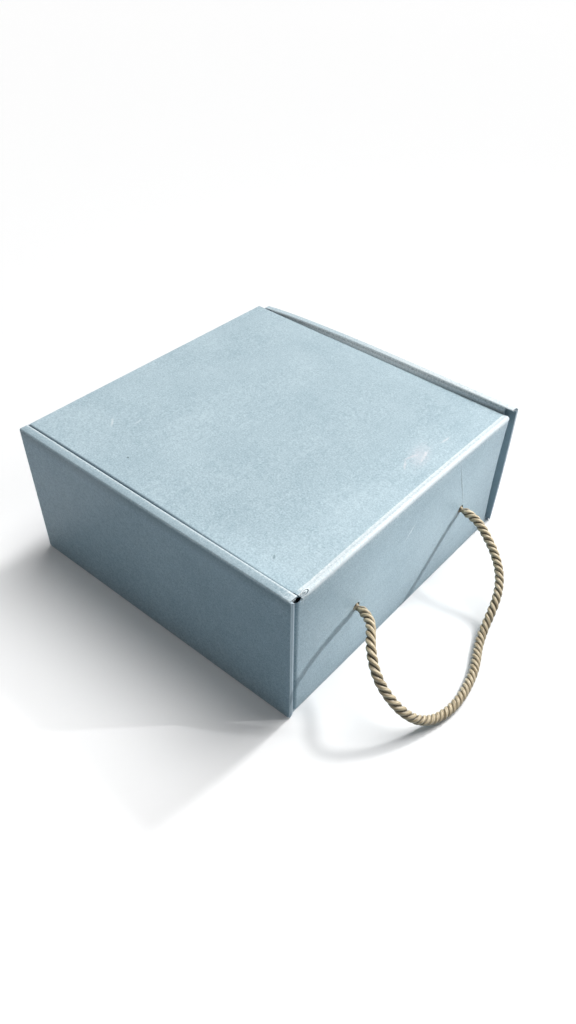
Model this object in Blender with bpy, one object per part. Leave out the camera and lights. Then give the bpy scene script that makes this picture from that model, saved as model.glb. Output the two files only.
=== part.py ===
"""Folded gift box with rolled side walls, a double-creased lid and a rope handle.

A folded box is one sheet of board, but each panel between two creases is stiff by itself, so every
panel is its own solid here, with a fine gap along each crease. Metres, +Z up. The box stands on
Z = 0 with its middle over the origin. The wall that carries the rope and the lid's hinge faces +X,
the lid's front flap faces -X. Right and left are those of someone who faces the flap and looks
along +X, so right is -Y.
"""

import math

import bmesh
import bpy
import numpy as np
from mathutils import Matrix, Vector

# The set-up box, outside to outside
body_depth = 0.240
body_width = 0.252
body_height = 0.106

# The board and its creases
board = 0.0020
fold_radius = 0.0012
crease_gap = 0.0003
fold_steps = 4

# Rolled side walls: outer wall, top strip and inner wall
roll_width = 0.0072
strip_end_setback = 0.0010
tab_length = 0.032
tab_spacing = 0.110
tab_lift = 0.0003
slot_clearance = 0.0003

# Hinge wall, which carries the rope, and front wall
hinge_wall_drop = 0.0028
hinge_wall_recess = 0.0015
front_wall_recess = 0.0004
front_wall_clearance = 0.0004
end_fold_radius = 0.0016

# Corner flaps, folded from the ends of those two walls into the rolled sides
corner_flap_length = 0.085
corner_flap_drop = 0.0035
corner_flap_taper = 0.012
corner_flap_foot = 0.006

# Lid: strip between its two creases, panel and front flap
hinge_strip_width = 0.0049
hinge_strip_dip = 0.0008
hinge_strip_end_gap = 0.0028
lid_side_gap = 0.0010
lid_front_rise = 0.0002
flap_gap = 0.0004
flap_height = 0.045
flap_side_taper = 0.004
flap_corner_radius = 0.009
flap_corner_steps = 6

# Disc magnets that hold the flap against the front wall
magnet_radius = 0.0060
magnet_thickness = 0.0012
magnet_spacing = 0.120
magnet_drop = 0.031
magnet_clearance = 0.0003
pocket_depth = 0.0016
magnet_segments = 32

# Rope, its holes and its knots
rope_diameter = 0.0065
rope_step = 0.013
rope_lead = 0.0050
hole_clearance = 0.0003
hole_height = 0.0475
hole_spacing = 0.127
hole_offset = 0.0030
hole_segments = 40
knot_radius = 0.0088
knot_length = 0.0120
knot_gap = 0.0003
knot_lobe_share = 0.12
knot_twist = math.radians(70)
knot_rings = 11
knot_segments = 30

# The rope's loop from just outside the right hole to just outside the left one. It leaves the wall
# straight, comes down to the floor and lies there on its lowest stretch.
rope_loop = (
    (0.1335, -0.0655, 0.0487),
    (0.1425, -0.0765, 0.0475),
    (0.1500, -0.0845, 0.0437),
    (0.1577, -0.0892, 0.0375),
    (0.1668, -0.0904, 0.0290),
    (0.1765, -0.0880, 0.0195),
    (0.1845, -0.0818, 0.0110),
    (0.1900, -0.0728, 0.0055),
    (0.1936, -0.0618, 0.0035),
    (0.1950, -0.0495, 0.0033),
    (0.1934, -0.0335, 0.0033),
    (0.1895, -0.0178, 0.0033),
    (0.1838, -0.0040, 0.0034),
    (0.1792, 0.0095, 0.0050),
    (0.1768, 0.0212, 0.0100),
    (0.1745, 0.0320, 0.0163),
    (0.1705, 0.0420, 0.0224),
    (0.1637, 0.0505, 0.0290),
    (0.1540, 0.0570, 0.0360),
    (0.1440, 0.0615, 0.0420),
    (0.1345, 0.0648, 0.0460),
)

# Where the pieces stand
rope_radius = rope_diameter / 2
hole_radius = rope_radius + hole_clearance
flap_stand_out = board + flap_gap - front_wall_recess
side_rear = (body_depth + flap_stand_out) / 2
side_front = side_rear - body_depth
side_face = body_width / 2
hinge_face = side_rear - hinge_wall_recess
front_face = side_front + front_wall_recess
flap_face = front_face - flap_gap - board
roll_inside = side_face - roll_width
layer_gap = (roll_width - 3 * board) / 2
wall_end = side_face - board - layer_gap
inner_rear = hinge_face - board - crease_gap
inner_front = front_face + board + crease_gap
floor_top = board + crease_gap
hole_middles = (hole_offset - hole_spacing / 2, hole_offset + hole_spacing / 2)

# The corners of the lid's outer face, seen from the right: wall top, lid crease and front edge
lid_front_height = body_height + lid_front_rise
wall_crease = Vector((hinge_face, body_height - hinge_wall_drop))
strip_run = math.sqrt(hinge_strip_width ** 2 - hinge_strip_dip ** 2)
lid_crease = wall_crease + Vector((-strip_run, -hinge_strip_dip))
lid_edge = Vector((flap_face, lid_front_height))
flap_foot = Vector((flap_face, lid_front_height - flap_height))


def clear_scene():
    """Removes every object that the file opens with."""
    for item in list(bpy.data.objects):
        bpy.data.objects.remove(item, do_unlink=True)


def make_material(name, colour, roughness, metallic=0.0):
    """A Principled material with the part's own colour."""
    material = bpy.data.materials.new(name)
    material.use_nodes = True
    shader = material.node_tree.nodes["Principled BSDF"]
    shader.inputs["Base Color"].default_value = (*colour, 1.0)
    shader.inputs["Roughness"].default_value = roughness
    shader.inputs["Metallic"].default_value = metallic
    return material


def quarter_turn(direction):
    """The direction turned a quarter anticlockwise: from along a panel to its inner side."""
    return Vector((-direction.y, direction.x))


def folded_end(corner, along, into, angle):
    """The end of a panel at a crease, from its outer face to its inner one.

    The two outer faces would meet at the corner, at the given inside angle. The crease is rounded
    and the panels part along its bisector, where each keeps half of the crease's gap.
    """
    half = angle / 2
    bisector = along * math.cos(half) + into * math.sin(half)
    aside = along * math.sin(half) - into * math.cos(half)
    centre = corner + bisector * (fold_radius / math.sin(half))
    first = math.pi / 2 - half
    last = math.asin(crease_gap / 2 / fold_radius)
    points = []
    for step in range(fold_steps + 1):
        turn = first + (last - first) * step / fold_steps
        points.append(centre + (aside * math.sin(turn) - bisector * math.cos(turn)) * fold_radius)
    depth = (board + crease_gap / 2 * math.cos(half)) / math.sin(half)
    points.append(corner + bisector * depth + aside * (crease_gap / 2))
    return points


def rounded_end(corner, along, into):
    """A square end whose outer edge is rounded, as where a wall is folded up from the floor."""
    centre = corner + (along + into) * fold_radius
    points = []
    for step in range(fold_steps + 1):
        turn = math.pi / 2 * step / fold_steps
        points.append(centre - into * fold_radius * math.cos(turn) - along * fold_radius * math.sin(turn))
    points.append(corner + into * board)
    return points


def raw_end(corner, along, into, setback=0.0):
    """A square cut end, moved back along the panel."""
    outer = corner + along * setback
    return [outer, outer + into * board]


def crease_angle(before, corner, after):
    """The inside angle between two panels whose outer faces run before-corner-after."""
    turn = (corner - before).angle_signed(after - corner)
    return math.pi - abs(turn)


def fold_axis(corner, along, into, angle):
    """The point where a rounded crease bends: the outermost fibre on its bisector."""
    half = angle / 2
    bisector = along * math.cos(half) + into * math.sin(half)
    return corner + bisector * (fold_radius / math.sin(half) - fold_radius)


def panel_outline(start, end, start_cut, end_cut):
    """A panel's section: its outer face runs from start to end, its board lies on the left of that.

    A cut is a pair: the function that shapes the end, and what else that function needs.
    """
    along = (end - start).normalized()
    into = quarter_turn(along)
    first = start_cut[0](start, along, into, *start_cut[1:])
    second = end_cut[0](end, -along, into, *end_cut[1:])
    return first[::-1] + second


def extruded(outline, place, low, high):
    """A closed solid: the outline at the low end, extruded to the high end."""
    mesh = bmesh.new()
    corners = [mesh.verts.new(place(point, low)) for point in outline]
    face = mesh.faces.new(corners)
    grown = bmesh.ops.extrude_face_region(mesh, geom=[face])
    moved = [item for item in grown["geom"] if isinstance(item, bmesh.types.BMVert)]
    origin = Vector((0, 0))
    bmesh.ops.translate(mesh, verts=moved, vec=place(origin, high) - place(origin, low))
    bmesh.ops.recalc_face_normals(mesh, faces=mesh.faces)
    return mesh


def across(point, y):
    """A point of a section seen from the right, at a distance along Y."""
    return Vector((point.x, y, point.y))


def lengthwise(point, x):
    """A point of a section seen from the rear, at a distance along X."""
    return Vector((x, point.x, point.y))


def flat_on_floor(point, z):
    """A point of a plan, at a height."""
    return Vector((point.x, point.y, z))


def make_object(name, mesh, material, origin=None, parent=None):
    """Turns a bmesh into a named object whose origin is the given point of the world."""
    origin = Vector((0, 0, 0)) if origin is None else origin
    mesh.transform(Matrix.Translation(-origin))
    data = bpy.data.meshes.new(name)
    mesh.to_mesh(data)
    mesh.free()
    data.materials.append(material)
    data.shade_smooth()
    data.set_sharp_from_angle(angle=math.radians(30))
    item = bpy.data.objects.new(name, data)
    bpy.context.collection.objects.link(item)
    item.location = origin
    if parent is not None:
        item.parent = parent
        item.location = origin - parent_origin(parent)
    return item


def parent_origin(parent):
    """A parent's origin in the world, added up along its own parents."""
    place = parent.location.copy()
    if parent.parent is not None:
        place += parent_origin(parent.parent)
    return place


def cut_with(item, name, cutter_mesh):
    """Cuts a mesh out of an object with a Boolean, and keeps the cutter as a wire guide."""
    data = bpy.data.meshes.new(name)
    cutter_mesh.to_mesh(data)
    cutter_mesh.free()
    cutter = bpy.data.objects.new(name, data)
    bpy.context.collection.objects.link(cutter)
    cutter.hide_render = True
    cutter.display_type = "WIRE"
    cut = item.modifiers.new(name, "BOOLEAN")
    cut.operation = "DIFFERENCE"
    cut.solver = "EXACT"
    cut.object = cutter


def add_box(mesh, low, high):
    """Adds a box between two corners to a bmesh."""
    size = high - low
    place = Matrix.Translation((low + high) / 2) @ Matrix.Diagonal((*size, 1))
    bmesh.ops.create_cube(mesh, size=1, matrix=place)


def add_disc(mesh, middle, radius, depth, segments):
    """Adds a disc with its axis along X to a bmesh."""
    place = Matrix.Translation(middle) @ Matrix.Rotation(math.pi / 2, 4, "Y")
    bmesh.ops.create_cone(mesh, cap_ends=True, segments=segments, radius1=radius, radius2=radius,
                          depth=depth, matrix=place)


def mirrored(mesh, side):
    """Takes a mesh made for the left side, and turns it into the right one where side is -1."""
    if side < 0:
        bmesh.ops.scale(mesh, vec=Vector((1, -1, 1)), verts=mesh.verts)
        bmesh.ops.reverse_faces(mesh, faces=mesh.faces)
    return mesh


def tab_middles():
    """Where the locking tabs stand along X, the same distance before and behind the middle."""
    middle = (inner_front + inner_rear) / 2
    return (middle - tab_spacing / 2, middle + tab_spacing / 2)


def make_base(paper):
    """The floor of the box, with a slot under each locking tab of the inner walls."""
    half = side_face - board - crease_gap
    corners = ((inner_front, -half), (inner_rear, -half), (inner_rear, half), (inner_front, half))
    outline = [Vector(corner) for corner in corners]
    base = make_object("base_panel", extruded(outline, flat_on_floor, 0.0, board), paper)
    slots = bmesh.new()
    for side in (-1, 1):
        for middle in tab_middles():
            near = roll_inside - slot_clearance
            far = roll_inside + board + slot_clearance
            reach = tab_length / 2 + slot_clearance
            low = Vector((middle - reach, min(side * near, side * far), -board))
            high = Vector((middle + reach, max(side * near, side * far), 2 * board))
            add_box(slots, low, high)
    cut_with(base, "base_slots", slots)


def make_rolled_side(name, side, paper):
    """One rolled side wall: outer wall, top strip, and inner wall with its two locking tabs."""
    foot = Vector((side_face, 0))
    outer_top = Vector((side_face, body_height))
    inner_top = Vector((roll_inside, body_height))
    inner_foot = Vector((roll_inside, tab_lift))
    square = math.pi / 2
    fold = (folded_end, square)

    outer = panel_outline(foot, outer_top, (rounded_end,), fold)
    mesh = mirrored(extruded(outer, lengthwise, side_front, side_rear), side)
    make_object(name + "_outer_wall", mesh, paper)

    strip = panel_outline(outer_top, inner_top, fold, fold)
    mesh = mirrored(extruded(strip, lengthwise, side_front, side_rear - strip_end_setback), side)
    make_object(name + "_top_strip", mesh, paper)

    inner = panel_outline(inner_top, inner_foot, fold, (raw_end,))
    mesh = mirrored(extruded(inner, lengthwise, inner_front, inner_rear), side)
    wall = make_object(name + "_inner_wall", mesh, paper)
    between = bmesh.new()
    edges = [inner_front - board]
    for middle in tab_middles():
        edges += [middle - tab_length / 2, middle + tab_length / 2]
    edges.append(inner_rear + board)
    for start, end in zip(edges[0::2], edges[1::2]):
        low = Vector((start, min(side * (roll_inside - board), side * side_face), -board))
        high = Vector((end, max(side * (roll_inside - board), side * side_face), floor_top))
        add_box(between, low, high)
    cut_with(wall, name + "_between_tabs", between)


def make_corner_flaps(name, side, paper):
    """Two flaps between the layers of a rolled side, one from the hinge wall, one from the front."""
    top = body_height - board - corner_flap_drop
    ends = (("rear", inner_rear, -1), ("front", inner_front, 1))
    for end_name, root, way in ends:
        tip = root + way * corner_flap_length
        shoulder = tip - way * corner_flap_taper
        outline = [
            Vector((root, floor_top)),
            Vector((tip - way * corner_flap_foot, floor_top)),
            Vector((tip, floor_top + corner_flap_foot)),
            Vector((tip, top - corner_flap_taper)),
            Vector((shoulder, top)),
            Vector((root, top)),
        ]
        mesh = extruded(outline, across, side * (wall_end - board), side * wall_end)
        make_object(end_name + "_" + name + "_corner_flap", mesh, paper)


def round_upright_edges(mesh, face_x):
    """Rounds the two upright outer edges of an end wall, where its corner flaps are folded."""
    edges = []
    for edge in mesh.edges:
        first, second = edge.verts
        on_face = all(abs(vert.co.x - face_x) < crease_gap for vert in edge.verts)
        upright = abs(first.co.z - second.co.z) > body_height / 2
        if on_face and upright:
            edges.append(edge)
    bmesh.ops.bevel(mesh, geom=edges, offset=end_fold_radius, segments=fold_steps, profile=0.5,
                    affect="EDGES", clamp_overlap=True)


def make_hinge_wall(paper):
    """The wall with the lid's crease along its top and the two rope holes."""
    foot = Vector((hinge_face, 0))
    fold = (folded_end, crease_angle(foot, wall_crease, lid_crease))
    outline = panel_outline(foot, wall_crease, (rounded_end,), fold)
    mesh = extruded(outline, across, -wall_end, wall_end)
    round_upright_edges(mesh, hinge_face)
    wall = make_object("hinge_wall", mesh, paper)
    holes = bmesh.new()
    for middle in hole_middles:
        place = Vector((hinge_face - board / 2, middle, hole_height))
        add_disc(holes, place, hole_radius, 4 * board, hole_segments)
    cut_with(wall, "rope_holes", holes)


def magnet_places(x):
    """The middles of the right and left magnets, at the given place along X."""
    height = lid_front_height - magnet_drop
    return [Vector((x, way * magnet_spacing / 2, height)) for way in (-1, 1)]


def magnet_pockets(open_face, way):
    """Cutters for two blind pockets, open at a face and cut into the board on the given side."""
    pockets = bmesh.new()
    depth = pocket_depth + board
    for place in magnet_places(open_face + way * (pocket_depth - board) / 2):
        add_disc(pockets, place, magnet_radius + magnet_clearance, depth, magnet_segments)
    return pockets


def make_magnets(name, open_face, way, metal, parent=None):
    """The two magnets that lie in those pockets, a clearance above the pockets' floors."""
    middle = open_face + way * (pocket_depth - magnet_clearance - magnet_thickness / 2)
    for side_name, place in zip(("right", "left"), magnet_places(middle)):
        disc = bmesh.new()
        add_disc(disc, place, magnet_radius, magnet_thickness, magnet_segments)
        make_object(side_name + "_" + name, disc, metal, place, parent)


def make_front_wall(paper, metal):
    """The wall under the lid's front edge, with the magnets that hold the flap."""
    slope = (lid_front_height - lid_crease.y) / (lid_crease.x - flap_face)
    lid_underside = lid_front_height - slope * flap_stand_out - board
    top = Vector((front_face, lid_underside - slope * board - front_wall_clearance))
    outline = panel_outline(top, Vector((front_face, 0)), (raw_end,), (rounded_end,))
    mesh = extruded(outline, across, -wall_end, wall_end)
    round_upright_edges(mesh, front_face)
    wall = make_object("front_wall", mesh, paper)
    cut_with(wall, "wall_magnet_pockets", magnet_pockets(front_face, 1))
    make_magnets("wall_magnet", front_face, 1, metal)


def flap_plan(half_width):
    """The front flap from outside: sides that draw in a little and two round lower corners."""
    low = flap_foot.y
    high = lid_front_height + board
    foot_half = half_width - flap_side_taper
    lean = math.atan2(flap_side_taper, flap_height)
    centre = Vector((foot_half - flap_corner_radius / math.cos(lean) + flap_corner_radius * math.tan(lean),
                     low + flap_corner_radius))
    side = [Vector((half_width, high))]
    for step in range(flap_corner_steps + 1):
        turn = lean + (math.pi / 2 - lean) * step / flap_corner_steps
        reach = Vector((math.cos(turn), -math.sin(turn))) * flap_corner_radius
        side.append(centre + reach)
    other = [Vector((-point.x, point.y)) for point in side[::-1]]
    return side + other


def make_lid(paper, metal):
    """Hinge strip, lid panel and front flap, each with its origin on the crease it turns about."""
    wall_angle = crease_angle(Vector((hinge_face, 0)), wall_crease, lid_crease)
    edge_angle = crease_angle(lid_crease, lid_edge, flap_foot)
    lid_half = roll_inside - lid_side_gap

    strip = panel_outline(wall_crease, lid_crease, (folded_end, wall_angle), (raw_end, crease_gap / 2))
    strip_half = lid_half - hinge_strip_end_gap
    down = Vector((0, -1))
    wall_axis = fold_axis(wall_crease, down, Vector((-1, 0)), wall_angle)
    strip_item = make_object("hinge_strip", extruded(strip, across, -strip_half, strip_half), paper,
                             across(wall_axis, 0.0))

    lid = panel_outline(lid_crease, lid_edge, (raw_end, crease_gap / 2), (folded_end, edge_angle))
    lid_item = make_object("lid_panel", extruded(lid, across, -lid_half, lid_half), paper,
                           across(lid_crease, 0.0), strip_item)

    flap = panel_outline(lid_edge, flap_foot, (folded_end, edge_angle), (raw_end,))
    edge_axis = fold_axis(lid_edge, down, Vector((1, 0)), edge_angle)
    flap_item = make_object("front_flap", extruded(flap, across, -lid_half, lid_half), paper,
                            across(edge_axis, 0.0), lid_item)
    trim_flap(flap_item, lid_half)
    flap_back = flap_face + board
    cut_with(flap_item, "flap_magnet_pockets", magnet_pockets(flap_back, -1))
    make_magnets("flap_magnet", flap_back, -1, metal, flap_item)
    for name, axis in (("wall", wall_axis), ("lid", lid_crease), ("flap", edge_axis)):
        print(name, "crease turns about x, z:", round(axis.x, 6), round(axis.y, 6))


def trim_flap(flap_item, half_width):
    """Keeps of the flap what lies inside its plan, by a Boolean with the plan's own solid."""
    plan = flap_plan(half_width)
    keeper_mesh = extruded(plan, lengthwise, flap_face - board, flap_face + 2 * board)
    data = bpy.data.meshes.new("flap_plan")
    keeper_mesh.to_mesh(data)
    keeper_mesh.free()
    keeper = bpy.data.objects.new("flap_plan", data)
    bpy.context.collection.objects.link(keeper)
    keeper.hide_render = True
    keeper.display_type = "WIRE"
    trim = flap_item.modifiers.new("flap_plan", "BOOLEAN")
    trim.operation = "INTERSECT"
    trim.solver = "EXACT"
    trim.object = keeper


def smooth_route(points, spacing):
    """Points at an even spacing on a natural cubic spline through the given ones."""
    given = np.array(points)
    knots = np.concatenate([[0.0], np.cumsum(np.linalg.norm(np.diff(given, axis=0), axis=1))])
    gaps = np.diff(knots)
    count = len(given)
    system = np.eye(count)
    right = np.zeros((count, 3))
    for row in range(1, count - 1):
        system[row, row - 1:row + 2] = (gaps[row - 1], 2 * (gaps[row - 1] + gaps[row]), gaps[row])
        slopes = (given[row + 1] - given[row]) / gaps[row] - (given[row] - given[row - 1]) / gaps[row - 1]
        right[row] = 6 * slopes
    bend = np.linalg.solve(system, right)
    steps = max(2, round(knots[-1] / spacing))
    places = []
    for along in np.linspace(0.0, knots[-1], steps + 1):
        cell = min(np.searchsorted(knots, along, side="right") - 1, count - 2)
        left, rest, gap = along - knots[cell], knots[cell + 1] - along, gaps[cell]
        start, end = bend[cell], bend[cell + 1]
        place = (start * rest ** 3 + end * left ** 3) / (6 * gap)
        place = place + (given[cell] / gap - start * gap / 6) * rest
        place = place + (given[cell + 1] / gap - end * gap / 6) * left
        places.append(place)
    return places


def make_rope(cord):
    """The rope from the back of one hole, straight out, round the loop and into the other hole."""
    back = hinge_face - board
    outside = hinge_face + rope_lead
    right_hole, left_hole = hole_middles
    right_out = (outside, right_hole, hole_height)
    left_out = (outside, left_hole, hole_height)
    straight_right = (back, right_hole, hole_height)
    straight_left = (back, left_hole, hole_height)
    whole = [straight_right, right_out, *rope_loop, left_out, straight_left]
    loop = smooth_route([right_out, *rope_loop, left_out], rope_step)
    route = [straight_right, *loop, straight_left]
    curve = bpy.data.curves.new("carry_rope", "CURVE")
    curve.dimensions = "3D"
    curve.bevel_depth = rope_radius
    curve.bevel_resolution = 4
    curve.resolution_u = 1
    curve.render_resolution_u = 0
    curve.use_fill_caps = True
    spline = curve.splines.new("POLY")
    spline.points.add(len(route) - 1)
    for point, place in zip(spline.points, route):
        point.co = (*place, 1.0)
    curve.materials.append(cord)
    item = bpy.data.objects.new("carry_rope", curve)
    bpy.context.collection.objects.link(item)
    fine = np.array(smooth_route(whole, rope_step / 10))
    length = np.linalg.norm(np.diff(fine, axis=0), axis=1).sum()
    print("rope from wall to wall, metres:", round(float(length), 4))


def make_knot(name, middle, cord):
    """An overhand knot drawn up against the wall: a rounded barrel with three twisted lobes."""
    mesh = bmesh.new()
    front = hinge_face - board - knot_gap
    rings = []
    for ring in range(knot_rings):
        share = ring / (knot_rings - 1)
        bulge = math.sqrt(1 - (2 * share - 1) ** 4 * (1 - (rope_radius / knot_radius) ** 2))
        corners = []
        for step in range(knot_segments):
            turn = 2 * math.pi * step / knot_segments
            lobe = 1 - knot_lobe_share / 2 * (1 - math.cos(3 * (turn - knot_twist * share)))
            reach = knot_radius * bulge * lobe
            place = (front - knot_length * share, middle + reach * math.cos(turn),
                     hole_height + reach * math.sin(turn))
            corners.append(mesh.verts.new(place))
        rings.append(corners)
    for before, after in zip(rings, rings[1:]):
        for step in range(knot_segments):
            following = (step + 1) % knot_segments
            mesh.faces.new((before[step], before[following], after[following], after[step]))
    mesh.faces.new(rings[0])
    mesh.faces.new(rings[-1])
    bmesh.ops.recalc_face_normals(mesh, faces=mesh.faces)
    make_object(name, mesh, cord)


def build():
    """Makes the whole box."""
    clear_scene()
    paper = make_material("light blue pearl paper", (0.45, 0.58, 0.66), 0.42)
    cord = make_material("beige twisted cord", (0.64, 0.52, 0.34), 0.75)
    metal = make_material("nickel plated magnet", (0.70, 0.69, 0.66), 0.25, 1.0)
    make_base(paper)
    for name, side in (("right", -1), ("left", 1)):
        make_rolled_side(name, side, paper)
        make_corner_flaps(name, side, paper)
    make_hinge_wall(paper)
    make_front_wall(paper, metal)
    make_lid(paper, metal)
    make_rope(cord)
    for name, middle in zip(("rope_knot_right", "rope_knot_left"), hole_middles):
        make_knot(name, middle, cord)


build()
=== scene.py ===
# %% [markdown]
# # A folded gift box with rolled sides and a rope handle
# The box is one sheet of grey board, 2 mm thick, covered on its outer side with light blue pearly
# paper. It is creased and folded, and nothing on it is really flat: the board bows, the creases
# are rubbed white and the cut edges show the board. This lesson builds it panel by panel, as a box
# maker would fold it, on top of the stiff model that gives every size.

# %% The model that everything is fitted to
import math
import bpy
import numpy as np
from mathutils import Matrix, Vector


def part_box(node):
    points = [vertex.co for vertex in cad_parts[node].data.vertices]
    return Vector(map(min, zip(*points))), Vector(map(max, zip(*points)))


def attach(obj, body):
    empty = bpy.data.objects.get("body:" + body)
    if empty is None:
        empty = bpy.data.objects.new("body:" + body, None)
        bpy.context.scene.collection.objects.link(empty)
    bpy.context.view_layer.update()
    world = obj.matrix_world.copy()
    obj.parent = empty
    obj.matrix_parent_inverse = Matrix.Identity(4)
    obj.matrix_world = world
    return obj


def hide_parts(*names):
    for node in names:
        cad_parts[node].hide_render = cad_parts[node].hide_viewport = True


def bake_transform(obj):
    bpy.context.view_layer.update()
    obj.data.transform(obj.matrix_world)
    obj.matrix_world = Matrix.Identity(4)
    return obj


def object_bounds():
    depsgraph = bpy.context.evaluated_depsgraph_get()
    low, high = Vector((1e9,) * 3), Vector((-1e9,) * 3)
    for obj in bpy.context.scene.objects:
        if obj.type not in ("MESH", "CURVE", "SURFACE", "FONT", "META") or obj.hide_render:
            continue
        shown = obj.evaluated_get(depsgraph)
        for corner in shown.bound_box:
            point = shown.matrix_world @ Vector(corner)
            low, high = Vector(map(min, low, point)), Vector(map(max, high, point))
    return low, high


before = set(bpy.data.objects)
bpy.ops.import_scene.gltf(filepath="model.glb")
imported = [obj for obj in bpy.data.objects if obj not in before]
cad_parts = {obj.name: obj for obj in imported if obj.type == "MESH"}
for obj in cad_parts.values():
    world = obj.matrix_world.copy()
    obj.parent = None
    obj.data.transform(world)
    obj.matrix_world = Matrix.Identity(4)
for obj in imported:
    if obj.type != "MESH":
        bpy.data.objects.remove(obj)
stiff_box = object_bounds()
mm = 0.001
print("the stiff model has", len(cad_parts), "parts")

# %% [markdown]
# ## The camera
# The picture was taken from above the corner where the handle wall meets the right side. A camera
# has a place, a turn and a lens. All three were worked out from the corners of the box in the
# picture, so the render can be laid over it.

# %% Camera
lens_mm = 26.43
sensor_mm = 36.0
picture_shift = (-0.0214, 0.0315)
camera_place = (0.29153, -0.33363, 0.39779)
turn_vector = Vector((2.19705, 0.80285, -0.30869))

camera_data = bpy.data.cameras.new("camera")
camera_data.lens = lens_mm
camera_data.sensor_fit = "VERTICAL"
camera_data.sensor_height = sensor_mm
camera_data.shift_x, camera_data.shift_y = picture_shift
camera_data.clip_start = 0.01
camera = bpy.data.objects.new("camera", camera_data)
bpy.context.collection.objects.link(camera)
world_to_lens = Matrix.Rotation(turn_vector.length, 3, turn_vector.normalized())
lens_to_world = world_to_lens.transposed() @ Matrix.Diagonal((1, -1, -1))
camera.matrix_world = Matrix.Translation(camera_place) @ lens_to_world.to_4x4()
bpy.context.scene.camera = camera
print("camera looks along", [round(v, 3) for v in -lens_to_world.col[2]])

# %% [markdown]
# ## The way of the rope
# The handle is a soft rope. It comes straight out of one hole, drops to the table, lies there and
# climbs back into the other hole. The route is a list of points, and a natural cubic spline goes
# through them, which is the shape that a thin springy batten takes when it is held at those points.

# %% Rope route
rope_diameter = 6.5 * mm
wall_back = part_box("hinge_wall")[0][0]
hole_height = 47.5 * mm
right_hole, left_hole = -60.5 * mm, 66.5 * mm
rope_points = mm * np.array([
    (124.5, -60.5, 47.5), (133.5, -65.5, 48.7), (142.5, -76.5, 47.5), (150.0, -84.5, 43.7),
    (157.7, -89.2, 37.5), (166.8, -90.4, 29.0), (176.5, -88.0, 19.5), (184.5, -81.8, 11.0),
    (190.0, -72.8, 5.5), (193.6, -61.8, 3.5), (195.0, -49.5, 3.3), (193.4, -33.5, 3.3),
    (189.5, -17.8, 3.3), (183.8, -4.0, 3.4), (179.2, 9.5, 5.0), (176.8, 21.2, 10.0),
    (174.5, 32.0, 16.3), (170.5, 42.0, 22.4), (163.7, 50.5, 29.0), (154.0, 57.0, 36.0),
    (144.0, 61.5, 42.0), (134.5, 64.8, 46.0), (124.5, 66.5, 47.5)])


def lengths_along(points):
    """Distance along a polyline: the running sum of the steps between its points."""
    steps = np.linalg.norm(np.diff(points, axis=0), axis=1)
    return np.concatenate([[0.0], np.cumsum(steps)])


def batten(points, count):
    """Evenly spaced points on the natural cubic spline through the given ones.

    The second derivatives solve a three-diagonal system. Between two knots the curve is the cubic
    that has those second derivatives and both places.
    """
    knots = lengths_along(points)
    gap = np.diff(knots)
    size = len(points)
    system = np.eye(size)
    inner = np.arange(1, size - 1)
    system[inner, inner - 1] = gap[:-1]
    system[inner, inner] = 2 * (gap[:-1] + gap[1:])
    system[inner, inner + 1] = gap[1:]
    right = np.zeros_like(points)
    right[1:-1] = 6 * np.diff(np.diff(points, axis=0) / gap[:, None], axis=0)
    bend = np.linalg.solve(system, right)
    along = np.linspace(0.0, knots[-1], count)
    cell = np.clip(np.searchsorted(knots, along, side="right") - 1, 0, size - 2)
    g = gap[cell][:, None]
    done = (along - knots[cell])[:, None]
    left = g - done
    cubic = (bend[cell] * left ** 3 + bend[cell + 1] * done ** 3) / (6 * g)
    start = (points[cell] / g - bend[cell] * g / 6) * left
    end = (points[cell + 1] / g - bend[cell + 1] * g / 6) * done
    return cubic + start + end


rope_line = np.vstack([(wall_back, right_hole, hole_height), batten(rope_points, 520),
                       (wall_back, left_hole, hole_height)])
rope_length = lengths_along(rope_line)[-1]
print("rope from wall to wall:", round(rope_length * 1000, 1), "mm")

# %% [markdown]
# ## Colours and nodes
# Colours are written as the hex codes that a paint chart gives. Blender calculates with linear
# light, so one function turns the one into the other. A second one sets an input or links it, and a
# third adds a shader node with its settings and links, so that each material reads as a recipe.

# %% Colour and node helpers


def linear(code):
    """sRGB hex to linear: (c + 0.055) / 1.055 to the power 2.4, or c / 12.92 near black."""
    values = [int(code[i:i + 2], 16) / 255 for i in (1, 3, 5)]
    return [v / 12.92 if v <= 0.04045 else ((v + 0.055) / 1.055) ** 2.4 for v in values] + [1.0]


def feed(socket, value):
    """Sets an input to a value, or links it to an output or to a node's first output in use."""
    if isinstance(value, bpy.types.Node):
        value = next(output for output in value.outputs if output.enabled)
    if isinstance(value, bpy.types.NodeSocket):
        socket.id_data.links.new(value, socket)
    else:
        socket.default_value = value


def add_node(tree, kind, inputs=None, **settings):
    """Adds a shader node, sets its properties, then feeds its inputs."""
    item = tree.nodes.new("ShaderNode" + kind)
    for name, value in settings.items():
        setattr(item, name, value)
    for name, value in (inputs or {}).items():
        feed(item.inputs[name], value)
    return item


def new_finish(name, roughness=0.5):
    """A material with a Principled shader: its tree, the shader's inputs and object coordinates."""
    material = bpy.data.materials.new(name)
    material.use_nodes = True
    tree = material.node_tree
    shader = tree.nodes["Principled BSDF"].inputs
    feed(shader["Roughness"], roughness)
    return material, tree, shader, add_node(tree, "TexCoord").outputs["Object"]


print("mid grey in linear light:", round(linear("#808080")[0], 3))
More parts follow.
